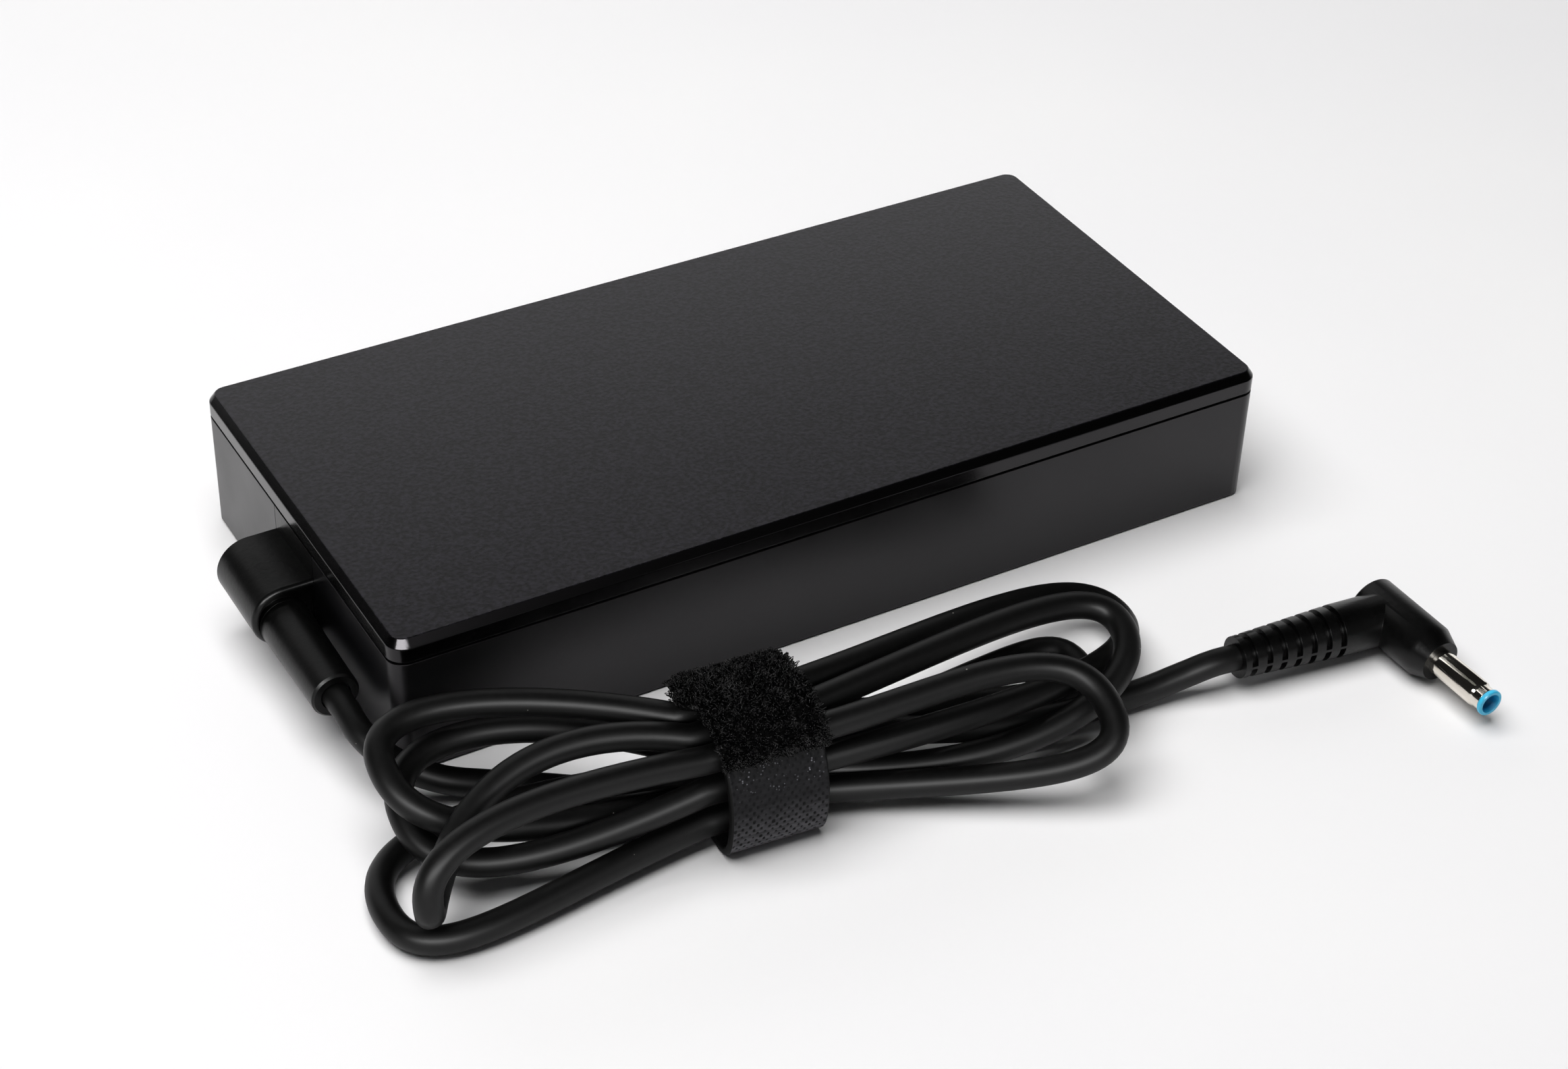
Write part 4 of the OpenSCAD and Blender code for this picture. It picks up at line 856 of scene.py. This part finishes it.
def make_pile_loops(rng):
    """Nylon loops of the pile, closest together at its front end and along its edges.

    Each is an arch: at t from 0 to 1 it is -cos(pi t) w / 2 along its foot and
    sin(pi t) h high, and it leans the more the higher it is. Those on the edges
    and near the front end are lower, and those on the edges lean outwards.
    """
    route, outward, run = pile_stretch()
    count, share = PILE_LOOPS, run / run[-1]
    s = rng.random(count)
    s[:FRONT_LOOPS] *= FRONT_SHARE
    at = s * run[-1]
    foot = np.stack([np.interp(at, run, route[:, k]) for k in range(2)], axis=1)
    out = unit(np.stack([np.interp(at, run, outward[:, k]) for k in range(2)], axis=1))
    reach = np.interp(s, share, tab_reach(share))
    across = rng.random(count)
    edge = rng.random(count) < EDGE_SHARE
    across = np.where(edge, np.round(across) + rng.normal(0, EDGE_SCATTER, count), across)
    x = -STRAP_WIDTH / 2 - reach + across * (STRAP_WIDTH + reach)
    turn = rng.random(count) * 2 * np.pi
    width = rng.uniform(*LOOP_WIDTH, count)
    height = rng.uniform(*LOOP_HEIGHT, count)
    height = height * np.where(edge, EDGE_HEIGHT, 1)
    height = height * (FRONT_HEIGHT + (1 - FRONT_HEIGHT) * smooth(at, 0, FRONT_RUN))
    lean = rng.normal(0, LOOP_LEAN, (count, 2))
    lean[:, 0] += np.where(edge, EDGE_LEAN * np.sign(across - 0.5), 0)
    end_way = np.minimum(at, run[-1] - at)
    sink = np.where(edge, EDGE_SINK, TOP_SINK) + END_SINK * (1 - smooth(end_way, 0, END_RUN))
    t = np.linspace(0, 1, FIBRE_RINGS)
    foot_way = -np.cos(np.pi * t)[None] * width[:, None] / 2
    rise = np.sin(np.pi * t)[None] * height[:, None]
    along_hank = foot_way * np.cos(turn)[:, None] + lean[:, :1] * rise
    along_band = foot_way * np.sin(turn)[:, None] + lean[:, 1:] * rise
    lift = PILE_THICK + PILE_GAP - sink[:, None] + rise
    tangent = np.stack([out[:, 1], -out[:, 0]], axis=1)
    section = foot[:, None] + along_band[..., None] * tangent[:, None] + lift[..., None] * out[:, None]
    paths = at_hank(x[:, None] + along_hank, section[..., 0], section[..., 1])
    loops = fibres("strap_pile_loops", paths, FIBRE_RADIUS, FINISH["fibre"])
    return loops


pile_rng = np.random.default_rng(7)
strap = [make_band(), make_pile(pile_rng), make_pile_loops(pile_rng)]


# --------------------------------------------------------------- CAD pieces

# CAD nodes that stay as they are, and the finish of each
for node, finish in {
    "inlet_pins": "nickel", "plug_tip_ring": "blue", "plug_centre_pin": "nickel",
    "inlet_wires": "red", "insulating_sheet": "paper", "main_board": "laminate", "fuse": "ceramic",
    "filter_capacitor": "yellow", "filter_choke_cores": "green_ferrite", "filter_choke_windings": "copper",
    "bridge_rectifier": "epoxy", "primary_heat_sink": "aluminium", "power_transistors": "epoxy",
    "inductor_core": "ferrite", "inductor_winding": "copper", "bulk_capacitors": "sleeve",
    "transformer_core": "ferrite", "transformer_winding": "yellow", "output_capacitors": "sleeve",
    "output_choke": "copper", "control_chips": "epoxy", "heat_spreader": "aluminium",
    "thermal_pads": "pad", "output_wires": "relief",
}.items():
    for slot in cad_node[node].material_slots:
        slot.material = FINISH[finish]

# Moulded and turned parts, with their edges rounded a little
eased("top_cover", "top_cover_eased", FINISH["cover"], 0.14)
eased("lower_housing", "lower_housing_eased", FINISH["tub"], 0.12)
eased("inlet_body", "inlet_body_eased", FINISH["inlet"], 0.12)
relief_block = eased("elbow_strain_relief", "elbow_relief_eased", FINISH["relief"], 0.12)
plug_body = eased("plug_moulding", "plug_moulding_eased", FINISH["relief"], 0.17)
barrel = eased("plug_barrel", "plug_barrel_eased", FINISH["nickel"], 0.05)


# ------------------------------------------------------- floor, light, world

FLOOR_REACH, FLOOR_HEIGHT = 4000, -0.1

# The white card's edges as slopes of a direction, and the brightness of room and card
CARD_FULL, CARD_TOP = 0.56, 0.96
CARD_RIGHT, CARD_LEFT = -0.3, -0.62
ROOM_LEVEL, CARD_LEVEL = 0.012, 1.25
LEAST_BEHIND = 0.05       # keeps the slopes finite where a direction doesn't lead behind the part


def matt_floor():
    """Plain pale paper: matt, with the faintest cloudiness."""
    material, tree, shader = new_finish("pale_matt_paper", Roughness=0.9, IOR=1.3)
    feed(tree, shader, {"Base Color": blend_colours(tree, grain(tree, 60), "eeeef0", "f1f1f2")})
    return material


def make_floor():
    """Level sheet a tenth of a millimetre under the part."""
    sides = (-FLOOR_REACH, FLOOR_REACH)
    corners = np.array([(x, y, FLOOR_HEIGHT) for x in sides for y in sides])
    mesh = bpy.data.meshes.new("floor")
    mesh.from_pydata((corners * MM).tolist(), [], [[0, 2, 3, 1]])
    mesh.materials.append(matt_floor())
    floor = bpy.data.objects.new("floor", mesh)
    scene.collection.objects.link(floor)


def soft_light(name, azimuth, elevation, distance, size, power, colour="ffffff", mirrored=True, lit=True):
    """Rectangular lamp that faces the part, with its distance and its size (across, tall) in metres.

    Azimuth is the angle from +X. A lamp that isn't mirrored lights the part
    without showing in its gloss, and one that isn't lit only shows in gloss.
    """
    a, e = math.radians(azimuth), math.radians(elevation)
    data = bpy.data.lights.new(name, "AREA")
    data.shape = "RECTANGLE"
    data.size, data.size_y = size
    data.energy = power
    data.color = linear(colour)[:3]
    lamp = bpy.data.objects.new(name, data)
    at = Vector((math.cos(a) * math.cos(e), math.sin(a) * math.cos(e), math.sin(e))) * distance
    lamp.location = at
    lamp.rotation_euler = at.to_track_quat("Z", "Y").to_euler()
    lamp.visible_glossy = mirrored
    lamp.visible_diffuse = lit
    lamp.visible_camera = False
    scene.collection.objects.link(lamp)


def make_world():
    """Dim room with a long white card behind the part, parallel to its long side.

    In a direction (x, y, z) the card is full up to z / y = CARD_FULL and gone at
    CARD_TOP, and to the left it fades from x / y = CARD_RIGHT to CARD_LEFT.
    """
    world = bpy.data.worlds.new("studio")
    world.use_nodes = True
    tree = world.node_tree
    scene.world = world
    way = add(tree, "ShaderNodeTexCoord")
    parts = add(tree, "ShaderNodeSeparateXYZ", {"Vector": way.outputs["Generated"]})
    behind = add(tree, "ShaderNodeMath", {0: parts.outputs["Y"], 1: LEAST_BEHIND}, operation="MAXIMUM")
    slope = add(tree, "ShaderNodeMath", {0: parts.outputs["Z"], 1: behind}, operation="DIVIDE")
    turn = add(tree, "ShaderNodeMath", {0: parts.outputs["X"], 1: behind}, operation="DIVIDE")
    below_top = add(tree, "ShaderNodeMapRange", {0: slope, 1: CARD_TOP, 2: CARD_FULL})
    from_left = add(tree, "ShaderNodeMapRange", {0: turn, 1: CARD_LEFT, 2: CARD_RIGHT})
    card = add(tree, "ShaderNodeMath", {0: below_top, 1: from_left}, operation="MULTIPLY")
    level = add(tree, "ShaderNodeMapRange", {0: card, 3: ROOM_LEVEL, 4: CARD_LEVEL})
    feed(tree, tree.nodes["Background"], {"Color": level, "Strength": 1.0})


make_floor()
make_world()
soft_light("overhead_softbox", azimuth=174, elevation=75, distance=0.95, size=(0.9, 0.9), power=12.3,
           colour="fffefd", mirrored=False)
soft_light("front_strip", azimuth=-122, elevation=32, distance=1.3, size=(1.4, 0.22), power=25, lit=False)
soft_light("rear_strip", azimuth=90, elevation=57.5, distance=1.3, size=(1.3, 0.06), power=1.4, lit=False)
scene.view_settings.view_transform = "Standard"
